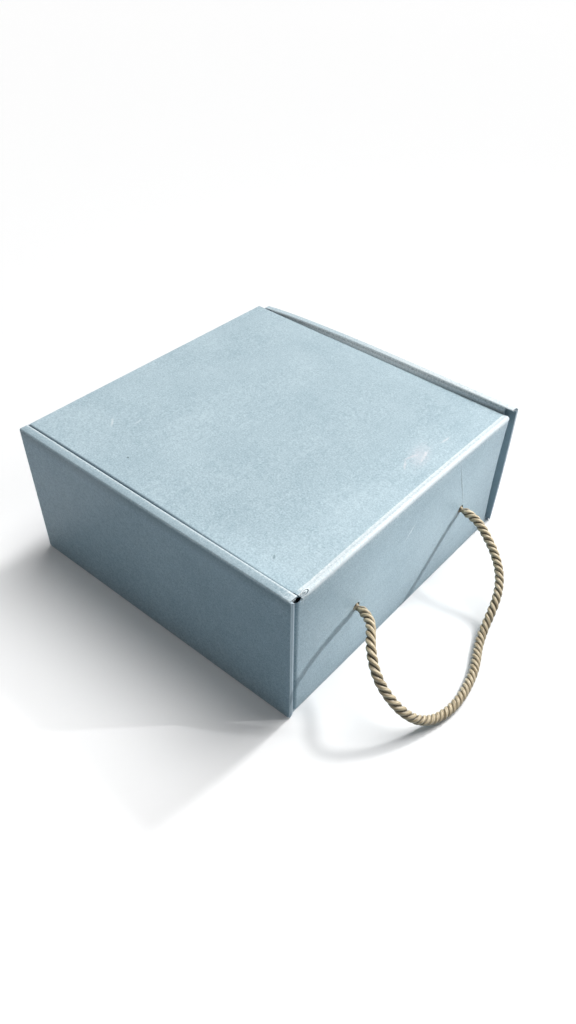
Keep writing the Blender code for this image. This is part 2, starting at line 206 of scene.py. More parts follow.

# %% [markdown]
# ## Pearl paper
# Pearl paper is white paper with a coat of tinted mica flakes. The flakes give a fine mottle and a
# soft sheen, stronger where the light grazes the paper. Where the board is creased the coat cracks
# and the white paper shows. So each paper piece carries two numbers at each place, 0 to 1: one
# whitens the paper, for that wear and, on some pieces, as painted light, and one darkens it, as
# painted shade in creases, gaps and hollows.
# The real flakes are too fine to show at this distance, so they are drawn as coarse as they need.

# %% Pearl paper
flake_mm = 1.15
mottle_mm = 5.0
cloud_mm = 55.0
streak_mm = (1.2, 30.0, 1.2)
rub_grain_mm = 1.1


def pearl_paper(name, marks=()):
    """Pearl coated paper. Its tone is the weighted sum of four noises.

    They are flakes, mottle, clouds and streaks. A mark is (middle, turn, half sizes, colour,
    strength): an ellipsoid whose border is broken up by noise, where the paper has that colour.
    """
    material, tree, shader, place = new_finish(name, 0.40)
    stretched = add_node(tree, "Mapping", {
        "Vector": place, "Scale": [1000 / size for size in streak_mm]})
    total = 0.0
    for where, scale, detail, roughness, distortion, weight in (
            (place, 1000 / flake_mm, 2.0, 0.8, 0.0, 1.6),
            (place, 1000 / mottle_mm, 4.0, 0.7, 0.6, 0.45),
            (place, 1000 / cloud_mm, 2.0, 0.5, 0.0, 0.40),
            (stretched, 1.0, 3.0, 0.6, 0.0, 0.30)):
        noise = add_node(tree, "TexNoise", {
            "Vector": where, "Scale": scale, "Detail": detail, "Roughness": roughness,
            "Distortion": distortion})
        total = add_node(tree, "Math", {0: noise, 1: weight, 2: total}, operation="MULTIPLY_ADD")
    tone = add_node(tree, "MapRange", {"Value": total, "From Min": 1.04, "From Max": 1.71})
    # each piece's painted shade, and its rub, which is wear and on some pieces painted light
    shade = add_node(tree, "Attribute", attribute_name="shade").outputs["Fac"]
    rub_and_painted_light = add_node(tree, "Attribute", attribute_name="rub_and_painted_light").outputs["Fac"]
    grain = add_node(tree, "TexNoise", {
        "Vector": place, "Scale": 1000 / rub_grain_mm, "Detail": 2.0})
    rub_and_painted_light_sum = add_node(tree, "Math", {0: rub_and_painted_light, 1: grain})
    whitened = add_node(tree, "MapRange", {"Value": rub_and_painted_light_sum, "From Min": 0.62, "From Max": 1.3})
    # 4A5D68 is painted shade; #EDF4F6 is worn paper, and painted light on some pieces
    layers = [(tone, "#C3D6DE"), (shade, "#4A5D68"), (whitened, "#EDF4F6")]
    for middle, turn, sizes, code, strength in marks:
        own = add_node(tree, "Mapping", {
            "Vector": place, "Location": middle, "Rotation": turn, "Scale": sizes},
            vector_type="TEXTURE")
        ring = add_node(tree, "VectorMath", {0: own}, operation="LENGTH")
        broken = add_node(tree, "Math", {0: grain, 1: 1.6, 2: ring}, operation="MULTIPLY_ADD")
        inside = add_node(tree, "MapRange", {
            "Value": broken, "From Min": 1.75, "From Max": 0.9, "To Max": strength},
            interpolation_type="SMOOTHSTEP")
        layers.append((inside, code))
    colour = linear("#98B0BB")
    for mask, code in layers:
        colour = add_node(tree, "Mix", {
            "Factor": mask, "A": colour, "B": linear(code)}, data_type="RGBA")
    feed(shader["Base Color"], colour)
    feed(shader["Specular IOR Level"], 0.20)
    feed(shader["Normal"], add_node(tree, "Bump", {
        "Height": total, "Strength": 0.35, "Distance": 0.00025}))
    return material


# Marks on the lid: x and y of the middle, half sizes (all mm), turn about Z, colour, strength.
# A dark speck, a dent drawn as painted shade, pale scuffs near the left half of the crease, and two
# scratches further towards the front. The half size along Z is 1 m, so that a mark shows however
# the lid is bowed.
lid_marks = [((x * mm, y * mm, 0.103), (0, 0, turn), (half_x * mm, half_y * mm, 1), code, strength)
             for x, y, half_x, half_y, turn, code, strength in (
    (-42.3, -97.5, 1.1, 0.9, 0.0, "#4E6068", 1.0),
    (87.7, -102.5, 1.2, 3.4, 0.6, "#7F949D", 0.8),
    (97.5, 33.0, 9.0, 20.0, 0.35, "#DCD8DE", 0.35),
    (99.6, 36.1, 1.6, 12.0, 0.25, "#EFE9EB", 0.45),
    (94.0, 28.0, 1.4, 9.0, -0.35, "#E6DEE2", 0.4),
    (95.8, 17.9, 1.4, 8.0, 0.5, "#EFE7E8", 0.4),
    (100.3, 60.0, 1.3, 8.0, -0.1, "#F0ECEE", 0.4),
    (-80.4, -78.7, 1.3, 7.0, 0.8, "#E4EAEC", 0.6),
    (-68.0, -66.0, 1.0, 6.0, 0.2, "#DDE6EA", 0.5))]
# Marks on the handle wall: y and z of the middle, half sizes (all mm), turn about X, and so on.
# A scratch below the crease, a fine dent above the far hole drawn as painted shade with a painted
# highlight on its lip, and a faint scuff.
wall_marks = [((0.1195, y * mm, z * mm), (turn, 0, 0), (1, half_y * mm, half_z * mm), code, strength)
              for y, z, half_y, half_z, turn, code, strength in (
    (-4.5, 72.8, 9.5, 0.8, 0.67, "#E6EEF1", 1.0),
    (60.0, 74.0, 30.0, 1.2, -1.204, "#7F959F", 0.9),
    (61.2, 74.5, 29.0, 0.6, -1.204, "#D5E1E6", 0.6),
    (-85.0, 90.0, 6.0, 0.8, 0.2, "#CBD9DF", 0.5))]
paper = pearl_paper("pearl_paper")
lid_paper = pearl_paper("pearl_paper_lid", lid_marks)
wall_paper = pearl_paper("pearl_paper_handle_wall", wall_marks)
print("marks on the lid and the handle wall:", len(lid_marks), "and", len(wall_marks))

# %% [markdown]
# ## Plain paper, board and nickel
# Inside, the board is lined with plain blue paper, uncoated and dull. Its cut edges show the grey
# board between two light lines of paper, so every plate carries a number called ply that runs from
# 0 on its outer face to 1 on its inner face. The magnets are discs plated with nickel, a warm
# bright metal whose polish is a little uneven. Real fibres and polishing marks are too fine to show,
# so they are drawn as clumps of 1.1 mm in the liner, 0.45 mm in the board and 0.67 mm on the nickel.

# %% Liner, board and nickel


def fibrous(name, roughness, clumps_in_cm, dark, pale):
    """Bare paper or board: its clumps of fibre are a noise between a dark and a pale tone."""
    material, tree, shader, place = new_finish(name, roughness)
    fibres = add_node(tree, "TexNoise", {
        "Vector": place, "Scale": 100 * clumps_in_cm, "Detail": 3.0})
    tone = add_node(tree, "Mix", {
        "Factor": fibres, "A": linear(dark), "B": linear(pale)}, data_type="RGBA")
    feed(shader["Base Color"], tone)
    return material, tree, shader, tone


liner = fibrous("liner_paper", 0.8, 9, "#9DB3BD", "#B4C7D0")[0]

board, tree, shader, grey = fibrous("cut_board_edge", 0.85, 22, "#8799A3", "#B9C7CF")
ply = add_node(tree, "Attribute", attribute_name="ply").outputs["Fac"]
lining = add_node(tree, "MapRange", {"Value": ply, "From Min": 0.64, "From Max": 0.74})
cover = add_node(tree, "MapRange", {
    "Value": ply, "From Min": 0.14, "From Max": 0.06, "To Max": 0.5})
papers = add_node(tree, "Math", {0: lining, 1: cover})
feed(shader["Base Color"], add_node(tree, "Mix", {
    "Factor": papers, "A": grey, "B": linear("#D6E2E8")}, data_type="RGBA"))

nickel, tree, shader, place = new_finish("nickel_plate")
polish_clumps_in_cm = 15
grain = add_node(tree, "TexNoise", {"Vector": place, "Scale": 100 * polish_clumps_in_cm})
feed(shader["Roughness"], add_node(tree, "MapRange", {
    "Value": grain, "To Min": 0.18, "To Max": 0.34}))
feed(shader["Base Color"], linear("#CFCBC3"))
feed(shader["Metallic"], 1.0)
print("finishes so far:", [finish.name for finish in (paper, liner, board, nickel)])

# %% [markdown]
# ## Panels
# Every panel is a plate: an outer face of pearl paper, an inner face of liner, and edges that join
# them. Both faces are grids of points with two numbers, how far along the crease and how far
# across. Cells of the grid can be left out for slots, and a round hole is set into a square of
# cells by rings of points that turn slowly from the square to the circle.

# %% Two soft curves and the grid lines


def ease(value, start, end):
    """Smooth step from 0 at start to 1 at end: 3 t squared minus 2 t cubed."""
    t = np.clip((value - start) / (end - start), 0, 1)
    return t * t * (3 - 2 * t)


def bell(value, middle, width):
    """Bell curve, 1 at the middle: e to the power of minus (distance / width) squared."""
    return np.exp(-((value - middle) / width) ** 2)


def grid_lines(start, end, gap, edge=(0.35 * mm, 0.9 * mm, 2.0 * mm)):
    """Even steps from start to end, with a few more close to both ends, where the rub shows."""
    count = max(2, int(round(abs(end - start) / gap)) + 1)
    near = np.array(edge) * np.sign(end - start)
    lines = np.concatenate([np.linspace(start, end, count), start + near, end - near])
    return lines[np.argsort(lines * np.sign(end - start))]


def lines_through(start, end, gap, *stops):
    """Grid lines from start to end that also pass through the given stops."""
    marks = np.concatenate([[start], np.sort(stops), [end]])
    parts = [grid_lines(a, b, gap, (0.4 * mm, 1.2 * mm)) for a, b in zip(marks[:-1], marks[1:])]
    return np.unique(np.round(np.concatenate(parts), 7))


def edge_rub(rows, columns, reach=0.7 * mm, amount=0.45):
    """Rub that is strongest at the border of a grid and falls off as a bell curve."""
    from_row, from_column = (np.minimum(np.abs(lines - lines[0]), np.abs(lines - lines[-1]))
                             for lines in (rows, columns))
    return amount * bell(np.minimum(from_row[:, None], from_column[None, :]), 0, reach)


print("a 20 mm panel gets grid lines at", (grid_lines(0, 20, 7, (0.35, 0.9, 2))).round(1), "mm")

# %% Faces of a plate


def quads(*corners):
    """Four arrays of point numbers as rows of four."""
    return np.stack([corner.ravel() for corner in corners], axis=1)


def rim_quads(index, kept, lift, mirrored):
    """Edge faces between kept and left-out cells, on the grid lines between rows of cells."""
    wide = np.pad(kept, ((1, 1), (0, 0)))
    opens, closes = wide[1:] & ~wide[:-1], wide[:-1] & ~wide[1:]
    if mirrored:
        opens, closes = closes, opens
    first, second = index[:, :-1], index[:, 1:]
    one = quads(first[opens], first[opens] + lift, second[opens] + lift, second[opens])
    two = quads(first[closes], second[closes], second[closes] + lift, first[closes] + lift)
    return np.vstack([one, two])


def round_hole(points, lift, index, cells, centre, radius, rings=4):
    """Rings of points from a square of left-out cells to a circle, on both faces.

    Each ring is the square's border moved towards the circle by an even share. Returns the new
    points of the outer and inner face, the faces of both, and the faces of the hole's wall.
    """
    i0, i1, j0, j1 = cells
    border = np.concatenate([index[i0:i1, j0], index[i1, j0:j1], index[i1:i0:-1, j1],
                             index[i0, j1:j0:-1]])
    count = len(border)
    new_points, numbers = [], []
    for face in (0, 1):
        edge = points[border + face * lift]
        away = edge[:, 1:] - centre
        circle = edge.copy()
        circle[:, 1:] = centre + away / np.linalg.norm(away, axis=1)[:, None] * radius
        share = np.linspace(0, 1, rings + 1)[1:, None, None]
        own = len(points) + (face * rings + np.arange(rings))[:, None] * count + np.arange(count)
        numbers.append(np.vstack([border + face * lift, own]))
        new_points.append((edge + (circle - edge) * share).reshape(-1, 3))
    outer, inner = numbers
    turn = np.roll(np.arange(count), -1)
    faces_out = quads(outer[:-1], outer[:-1][:, turn], outer[1:][:, turn], outer[1:])
    faces_in = quads(inner[:-1], inner[1:], inner[1:][:, turn], inner[:-1][:, turn])
    wall = quads(outer[-1], outer[-1][turn], inner[-1][turn], inner[-1])
    return np.vstack(new_points), faces_out, faces_in, wall


lip_inside = 0.60
lip_span = 0.93
pocket_depth = 2.5 * mm


def open_end(points, index, lift, row):
    """A worn, hollow end in place of the flat one: a pale lip round a pocket painted dark as shadow.

    The lip's inner ring is the end's outline drawn in to a share of its thickness and of its
    width, and the pocket's floor is that ring moved into the panel by the pocket's depth.
    """
    a, b = index[row], index[row] + lift
    middle = (points[a] + points[b]) / 2
    centre = middle.mean(axis=0)
    lips = [middle + (points[side] - middle) * lip_inside for side in (a, b)]
    lips = [centre + (lip - centre) * lip_span for lip in lips]
    inward = points[index[1 if row == 0 else -2]].mean(axis=0) - points[a].mean(axis=0)
    inward = inward / np.linalg.norm(inward) * pocket_depth
    rings = [a, b, *(len(points) + np.arange(4 * len(a)).reshape(4, -1))]
    faces = [quads(rings[4][:-1], rings[5][:-1], rings[5][1:], rings[4][1:])]
    for out, under, next_out, next_under in (rings[0:4], rings[2:6]):
        faces += [quads(out[1:], out[:-1], next_out[:-1], next_out[1:]),
                  quads(under[:-1], under[1:], next_under[1:], next_under[:-1]),
                  quads(out[:1], under[:1], next_under[:1], next_out[:1]),
                  quads(under[-1:], out[-1:], next_out[-1:], next_under[-1:])]
    faces = np.vstack(faces)
    return np.vstack(lips + [lip + inward for lip in lips]), faces if row == 0 else faces[:, ::-1]


print("the pocket of a hollow end is", round(pocket_depth * 1000, 1), "mm deep")

# %% Mesh from points and faces


def make_mesh(name, points, faces, kinds, finishes, numbers=None, smooth_angle=38):
    """Puts points and faces into a mesh object, and turns it right side out.

    A closed shape has a positive volume, the sum of (a . b x c) / 6 over its triangles, when its
    faces point outwards. If the sum is negative every face is turned round.
    """
    a, b, c, d = (points[faces[:, i]] for i in range(4))
    if np.einsum("ij,ij->i", a, np.cross(b, c) + np.cross(c, d)).sum() / 6 < 0:
        faces = faces[:, ::-1]
    data = bpy.data.meshes.new(name)
    rows = [row if row[2] != row[3] else row[:3] for row in faces.tolist()]
    data.from_pydata(points.tolist(), [], rows)
    for finish in finishes:
        data.materials.append(finish)
    data.polygons.foreach_set("material_index", np.asarray(kinds, dtype=np.int32))
    for label, values in (numbers or {}).items():
        layer = data.attributes.new(label, "FLOAT", "POINT")
        layer.data.foreach_set("value", values.astype(np.float32))
    data.shade_smooth()
    data.set_sharp_from_angle(angle=math.radians(smooth_angle))
    data.validate()
    piece = bpy.data.objects.new(name, data)
    bpy.context.collection.objects.link(piece)
    return piece


one_face = quads(*np.arange(4)[:, None])
print("the corners 0, 1, 2 and 3 of a grid's cell give the face", one_face[0])

# %% Plate


def make_plate(name, outer, inner, kept=None, holes=(), rub_and_painted_light=0.0, shade=0.0,
               finishes=(paper, liner, board), ends=()):
    """A panel from two grids of points, outer face and inner face, with edges between them.

    kept says which cells are there, holes are round ones, ends are rows with a hollow end.
    """
    rows, columns = outer.shape[:2]
    lift = rows * columns
    index = np.arange(lift).reshape(rows, columns)
    kept = np.ones((rows - 1, columns - 1), bool) if kept is None else kept
    points = np.vstack([outer.reshape(-1, 3), inner.reshape(-1, 3)])
    shown = kept.copy()
    for (i0, i1, j0, j1), centre, radius in holes:
        shown[i0:i1, j0:j1] = False
    a, b, c, d = index[:-1, :-1], index[1:, :-1], index[1:, 1:], index[:-1, 1:]
    skin = [quads(a[shown], b[shown], c[shown], d[shown])]
    back = [quads(a[shown], d[shown], c[shown], b[shown]) + lift]
    edge = [rim_quads(index, kept, lift, False), rim_quads(index.T, kept.T, lift, True)]
    ply = np.repeat([0.0, 1.0], lift)
    for hole in holes:
        more, out, under, wall = round_hole(points, lift, index, *hole)
        points = np.vstack([points, more])
        ply = np.concatenate([ply, np.repeat([0.0, 1.0], len(more) // 2)])
        skin.append(out)
        back.append(under)
        edge.append(wall)
    numbers = {"rub_and_painted_light": np.zeros(len(points)), "shade": np.zeros(len(points)), "ply": ply}
    for label, values in (("rub_and_painted_light", rub_and_painted_light), ("shade", shade)):
        numbers[label][:lift] = np.broadcast_to(values, (rows, columns)).ravel()
    edge = np.vstack(edge)
    for row in ends:
        edge = edge[~((edge % lift) // columns == row % rows).all(axis=1)]
        more, faces = open_end(points, index, lift, row)
        points = np.vstack([points, more])
        skin.append(faces)
        # the lip is pale and worn, and the pocket's floor is painted dark as shadow
        for label, lip, floor in (("rub_and_painted_light", 0.9, 0.0), ("shade", 0.0, 1.0), ("ply", 0.0, 0.0)):
            own = np.repeat([lip, floor], len(more) // 2)
            numbers[label] = np.concatenate([numbers[label], own])
    skin, back = np.vstack(skin), np.vstack(back)
    kinds = np.repeat([0, 1, 2], [len(skin), len(back), len(edge)])
    return make_mesh(name, points, np.vstack([skin, back, edge]), kinds, finishes, numbers)


print("a plate is made of", [finish.name for finish in (paper, liner, board)])

# %% Place of a piece in the model


def fit(piece, body, node):
    """Puts a piece on the body that it moves with, and hides the solid that it stands for."""
    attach(piece, body)
    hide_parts(node)
    print(piece.name, "has", len(piece.data.polygons), "faces")


# %% [markdown]
# ## Bowed board
# A folded box is never square once it has been handled. Three slow movements are put into every
# panel, as functions of the place in the flat model. The left side has bowed out and up between its
# ends, the creases of the lid stand a little high in the middle, and the right side leans a little.

# %% Bow of the board
side_low, side_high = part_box("left_outer_wall")
rear_end, front_end, side_face = side_high[0], side_low[0], side_high[1]
box_depth = rear_end - front_end
box_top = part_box("left_top_strip")[1][2]
half_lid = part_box("lid_panel")[1][1]
lid_rear, lid_depth = 115 * mm, 236 * mm
left_bow = 3.2 * mm


def crease_crown(y):
    """How far the creases of the lid stand above or below their straight line.

    Two parabolas fall off from the crown to both ends, the right one with a last drop of 1 mm.
    """
    middle = 22 * mm
    right = 2.2 * mm * ((middle - y) / (131 * mm)) ** 2 - 1.0 * mm * ease(-y, 104 * mm, 114 * mm)
    left = 0.9 * mm * ((y - middle) / (92 * mm)) ** 2
    return 0.2 * mm - np.where(y < middle, right, left)


def bow_body(points, folded_in=False):
    """Moves points of the standing box: bow of the left side, lean of the right, crown of the top.

    The bow is a half sine over the depth times a power of the height. folded_in is for the handle
    wall and its flaps: they follow the crown, and their left end is drawn in at half height.
    """
    x, y, z = points[..., 0], points[..., 1], points[..., 2]
    share = np.clip((x - front_end) / box_depth, 0, 1)
    bow = np.sin(np.pi * share ** 0.62)
    height = np.clip(z / box_top, 0, 1)
    half_way_up = np.sin(np.pi * height)
    on_left, on_right = (ease(side * y, 112 * mm, 119 * mm) for side in (1, -1))
    flare = on_left * ease(x, 80 * mm, 121 * mm) * half_way_up * 1.5 * mm
    drawn_in = ease(y, 96 * mm, 119 * mm) * ease(x, 85 * mm, 116 * mm) * half_way_up * 3.0 * mm
    moved = points.copy()
    moved[..., 1] += on_left * left_bow * bow * height ** 1.4 + (-drawn_in if folded_in else flare)
    moved[..., 1] += on_right * (0.5 * mm - 1.4 * mm * share) * height
    moved[..., 2] += on_left * 0.9 * mm * bow * height ** 3
    if folded_in:
        at_hinge = ease(x, 100 * mm, 116 * mm) * ease(z, 80 * mm, 102 * mm)
        moved[..., 2] += at_hinge * crease_crown(y) * (1 - ease(np.abs(y), 116 * mm, 123 * mm))
        moved[..., 2] -= at_hinge * 0.9 * mm * ease(-y, 113 * mm, 118 * mm)
    return moved


def bow_lid(points):
    """Moves points of the lid: the creases' crown, a lifted left front corner, a slight skew.

    The lift grows with the cube of the way to the front, and the left edge bulges as a half sine.
    """
    x, y = points[..., 0], points[..., 1]
    front = np.clip((lid_rear - x) / lid_depth, 0, 1)
    left = np.clip((y + half_lid) / (2 * half_lid), 0, 1)
    bulge = ease(left, 0.90, 1.0) * np.sin(np.pi * front) ** 0.8
    moved = points.copy()
    moved[..., 2] += crease_crown(y) * (1 - ease(front, 0.0, 0.55))
    moved[..., 2] += front ** 3 * (-1.2 * mm + 2.7 * mm * left)
    moved[..., 2] += 0.5 * mm * np.sin(np.pi * front) * np.sin(np.pi * left) - 1.1 * mm * bulge
    moved[..., 0] -= 2.8 * mm * front * left
    moved[..., 1] += 1.8 * mm * bulge
    return moved


print("the left side bows out by up to", round(left_bow * 1000, 1), "mm")

# %% [markdown]
# ## Sections
# Seen from its end, each panel is a strip of board whose outer corners are rounded by the crease.
# The outer line is an arc, a straight and an arc, each arc ending on the line that halves the fold,
# so two panels of one fold meet there without a step. The inner line runs between the inner corners.

# %% Section of a panel
board_thickness = 2.0 * mm
fold_radius = 1.3 * mm
arc_steps = 6
quarter = math.pi / 4


def panel_end(corner, along, into, cut_back):
    """One end of a section: its outer points from the end to the flat, and its inner corner.

    If cut_back is a number, the end is a straight cut that far back along the panel. If it is
    None, the end is a right-angled fold: an arc from the halving line to the flat, whose centre
    lies on the halving line, radius / sin(45 degrees) from the corner.
    """
    if cut_back is not None:
        place = corner + along * cut_back
        return place[None, :], place + into * board_thickness
    halving = along * math.cos(quarter) + into * math.sin(quarter)
    aside = along * math.sin(quarter) - into * math.cos(quarter)
    turn = np.linspace(0, quarter, arc_steps + 1)[:, None]
    centre = corner + halving * (fold_radius / math.sin(quarter))
    arc = centre + (aside * np.sin(turn) - halving * np.cos(turn)) * fold_radius
    return arc, corner + halving * (board_thickness / math.sin(quarter))


def panel_section(start, end, inside, start_cut=None, end_cut=None, gap=8 * mm):
    """Outer and inner line of a panel's section, and the distance of each point along it.

    start and end are where the outer faces meet, inside is +1 if the board lies left of the way
    from start to end and -1 if it lies right. The cuts are as in panel_end.
    """
    start, end = np.array(start, float), np.array(end, float)
    along = (end - start) / np.linalg.norm(end - start)
    into = np.array([-along[1], along[0]]) * inside
    first, first_inner = panel_end(start, along, into, start_cut)
    second, second_inner = panel_end(end, -along, into, end_cut)
    flat = grid_lines(0.0, np.linalg.norm(second[-1] - first[-1]), gap)[1:-1, None]
    outer = np.vstack([first, first[-1] + along * flat, second[::-1]])
    way = lengths_along(outer)
    inner = first_inner + (second_inner - first_inner) * (way / way[-1])[:, None]
    return outer, inner, way


def run_along(axis, section, stations):
    """Carries a section, drawn in the plane across X (0) or Y (1), along that axis."""
    grid = np.empty((len(stations), len(section), 3))
    grid[..., axis] = stations[:, None]
    grid[..., [other for other in range(3) if other != axis]] = section[None]
    return grid


print("a fold has a radius of", round(fold_radius * 1000, 1), "mm")

# %% [markdown]
# ## Rolled sides
# Each side wall is the same sheet rolled over: up the outside, across the top and down the inside,
# so the pearl paper shows on all three. The inner wall ends in two tabs that lock in the floor.

# %% Outer wall of a rolled side
roll_width = 7.2 * mm
left_narrower = 1.2 * mm
foot_gap = 0.3 * mm


def roll_corners(side):
    """Foot, outer top, inner top and inner foot of a rolled side, seen from the rear (y, z)."""
    width = roll_width - (left_narrower if side > 0 else 0.0)
    return ((side * side_face, 0.0), (side * side_face, box_top),
            (side * (side_face - width), box_top), (side * (side_face - roll_width), foot_gap))


def outer_wall(name, side):
    """The section of the outer wall, carried along X from the front to the rear.

    The right one's cut end has swollen by a smooth step, which lays the lining open as a thin
    bright line. Below the top edge a bell curve of painted shade darkens the paper, and on the left
    one painted shadow darkens the top of the rear end, where the roll is open.
    """
    stations = grid_lines(front_end, rear_end, 7 * mm)
    outer, inner, way = panel_section(*roll_corners(side)[0:2], side)
    skin, lining = run_along(0, outer, stations), run_along(0, inner, stations)
    swollen = (side < 0) * ease(stations, rear_end - 3 * mm, rear_end)[:, None]
    lining[..., 1] += 1.0 * mm * swollen
    # painted shade under the top edge, and painted shadow in the left one's open rear corner
    painted_shade_under_edge = 0.40 * bell(way, way[-1] - 2.2 * mm, 1.3 * mm)[None]
    painted_shadow_in_corner = ((side > 0) * ease(way, way[-1] - 5 * mm, way[-1])[None]
                   * ease(stations, rear_end - 3 * mm, rear_end - 1 * mm)[:, None])
    fit(make_plate(name + "_outer_wall_board", bow_body(skin), bow_body(lining),
                   rub_and_painted_light=edge_rub(stations, way, amount=0.25) * (1 - painted_shadow_in_corner),
                   shade=np.maximum(painted_shade_under_edge, painted_shadow_in_corner)),
        "box_body", name + "_outer_wall")


print("rolled sides are", round(roll_width * 1000, 1), "mm wide on top")

# %% Top strip of a rolled side
strip_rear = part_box("left_top_strip")[1][0]


def top_strip(name, side):
    """The section of the top strip, carried along X up to a hollow, worn rear end.

    On the right, painted shade darkens it outwards in proportion to the way across, less so near the
    rear end, a painted highlight runs near its inner edge, and it is paler towards the rear end. On
    the left it is painted white by a smooth step from the front to the rear, a painted highlight over
    its worn edges, and its rear end is cut off at a slant.
    """
    stations = grid_lines(front_end, strip_rear, 7 * mm)
    near_rear = ease(stations, strip_rear - 12 * mm, strip_rear)[:, None]
    outer, inner, way = panel_section(*roll_corners(side)[1:3], side, gap=1.5 * mm)
    share = way / way[-1]
    if side > 0:
        # painted highlight: the top is painted white towards the rear, over the worn edges
        rub_and_painted_light = 0.24 + 0.36 * ease(stations, -60 * mm, 60 * mm)[:, None]
        rub_and_painted_light = np.maximum(edge_rub(stations, way), rub_and_painted_light)
        shade = 0.0
        cut_back = (0.3 + 0.6 * share) * mm
    else:
        # painted highlight near the inner edge, paler towards the rear, and painted shade outwards
        rub_and_painted_light = 0.50 * bell(share, 0.86, 0.09)[None] + 0.35 * near_rear
        shade = (0.34 - 0.26 * share)[None] * (1 - 0.8 * near_rear)
        cut_back = 0.3 * mm
    skin, lining = run_along(0, outer, stations), run_along(0, inner, stations)
    for grid in (skin, lining):
        grid[..., 0] -= near_rear * cut_back
    fit(make_plate(name + "_top_strip_board", bow_body(skin), bow_body(lining),
                   rub_and_painted_light=rub_and_painted_light, shade=shade, ends=(-1,)),
        "box_body", name + "_top_strip")


print("the top strips end", round((rear_end - strip_rear) * 1000, 1), "mm before the walls")

# %% Inner wall of a rolled side
inner_wall_back = 6.3 * mm
tab_length = 32 * mm
floor_top = 2.3 * mm
inner_front, inner_rear = (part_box("left_inner_wall")[end][0] for end in (0, 1))
tab_middles = (inner_front + inner_rear) / 2 + np.array([-55, 55]) * mm
tab_ends = np.concatenate([tab_middles - tab_length / 2, tab_middles + tab_length / 2])
inner_stations = lines_through(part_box("front_wall")[0][0] + inner_wall_back,
                               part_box("hinge_wall")[1][0] - inner_wall_back, 7 * mm, *tab_ends)
middle = (inner_stations[:-1] + inner_stations[1:]) / 2
in_tab = (np.abs(middle[:, None] - tab_middles[None]) < tab_length / 2).any(axis=1)


def inner_wall(name, side):
    """The section of the inner wall, carried along X. Below the floor only its two tabs are kept.

    The left one has a belly that shows beside the lid: it comes and goes with the height by two
    smooth steps, and along X as a half sine.
    """
    outer, inner = panel_section(*roll_corners(side)[2:4], side, None, 0.0)[0:2]
    # one more point where the tabs start, which is put in its place by height
    outer, inner = (np.vstack([line[:-1], [line[-1][0], floor_top], line[-1:]])
                    for line in (outer, inner))
    by_height = np.argsort(-outer[arc_steps + 1:, 1]) + arc_steps + 1
    order = np.concatenate([np.arange(arc_steps + 1), by_height])
    outer, inner = outer[order], inner[order]
    below_floor = (outer[:-1, 1] + outer[1:, 1]) / 2 < floor_top
    # painted light: the top band is painted paler
    high = ease(outer[:, 1], box_top - 11 * mm, box_top - 5 * mm)
    # painted shade: a dark line just under the top
    groove_shade = 0.80 * bell(outer[:, 1], box_top - 1.35 * mm, 0.45 * mm)
    skin, lining = run_along(0, outer, inner_stations), run_along(0, inner, inner_stations)
    for grid in (skin, lining):
        below = box_top - grid[..., 2]
        belly = (side > 0) * ease(below, 0, 5 * mm) * (1 - ease(below, 6 * mm, 60 * mm))
        grid[..., 1] -= 3.0 * mm * belly * np.sin(np.pi * (grid[..., 0] - front_end) / box_depth)
    fit(make_plate(name + "_inner_wall_board", bow_body(skin), bow_body(lining),
                   kept=in_tab[:, None] | ~below_floor[None, :], rub_and_painted_light=(0.52 * high)[None],
                   shade=groove_shade[None]),
        "box_body", name + "_inner_wall")


print("each tab is", round(tab_length * 1000), "mm long")

# %% Both rolled sides
sides = (("right", -1), ("left", 1))
for name, side in sides:
    outer_wall(name, side)
    top_strip(name, side)
    inner_wall(name, side)

# %% [markdown]
# ## End walls and their corner flaps
# The handle wall and the front wall are folded up from the floor. At both ends their board turns
# the corner and runs on between the layers of the rolled side as a flap, which holds the wall
# upright. The handle wall has two round holes for the rope.

# %% Corner of an end wall
# The wall's face starts to turn at fold_from. Its first arc has the radius fold_round and turns by
# fold_turn, and the second one has the radius back_round and ends at wall_end, the flap's face.
wall_end = 123.4 * mm
fold_from = 116.9 * mm
fold_round = 3.5 * mm
back_round = 4.0 * mm
fold_turn = math.radians(50)


def corner_path(turns_first, turns_second, board_depth):
    """Plan of the corner: depth behind the wall's face and place outwards of each point.

    A first arc turns by 50 degrees, a straight follows, and a second arc turns the rest. The inner
    face is the same path moved along its normal by the board's thickness.
    """
    first = fold_round - board_depth
    depth = fold_round - first * np.cos(turns_first)
    out = fold_from + first * np.sin(turns_first)
    if len(turns_second) == 0:
        return depth, out
    straight = (wall_end - back_round * (1 - math.sin(fold_turn)) - fold_from
                - fold_round * math.sin(fold_turn))
    centre = (fold_round - fold_round * math.cos(fold_turn) + straight * math.tan(fold_turn)
              + back_round * math.cos(fold_turn))
    second = back_round - board_depth
    return (np.concatenate([depth, centre - second * np.cos(turns_second)]),
            np.concatenate([out, wall_end - back_round + second * np.sin(turns_second)]))


corner_reach = corner_path(np.zeros(0), np.array([math.pi / 2]), 0.0)[0][0]
print("a corner takes", round(corner_reach * 1000, 1), "mm of the side")

# %% End walls
hinge_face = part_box("hinge_wall")[1][0]
front_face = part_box("front_wall")[0][0]
wall_turns = np.linspace(0, math.radians(45), arc_steps + 1)
bends = wall_turns[::-1]
foot_insets = fold_radius * (1 - np.sin(math.pi / 2 - bends))
foot_heights = fold_radius * (1 - np.sin(bends))


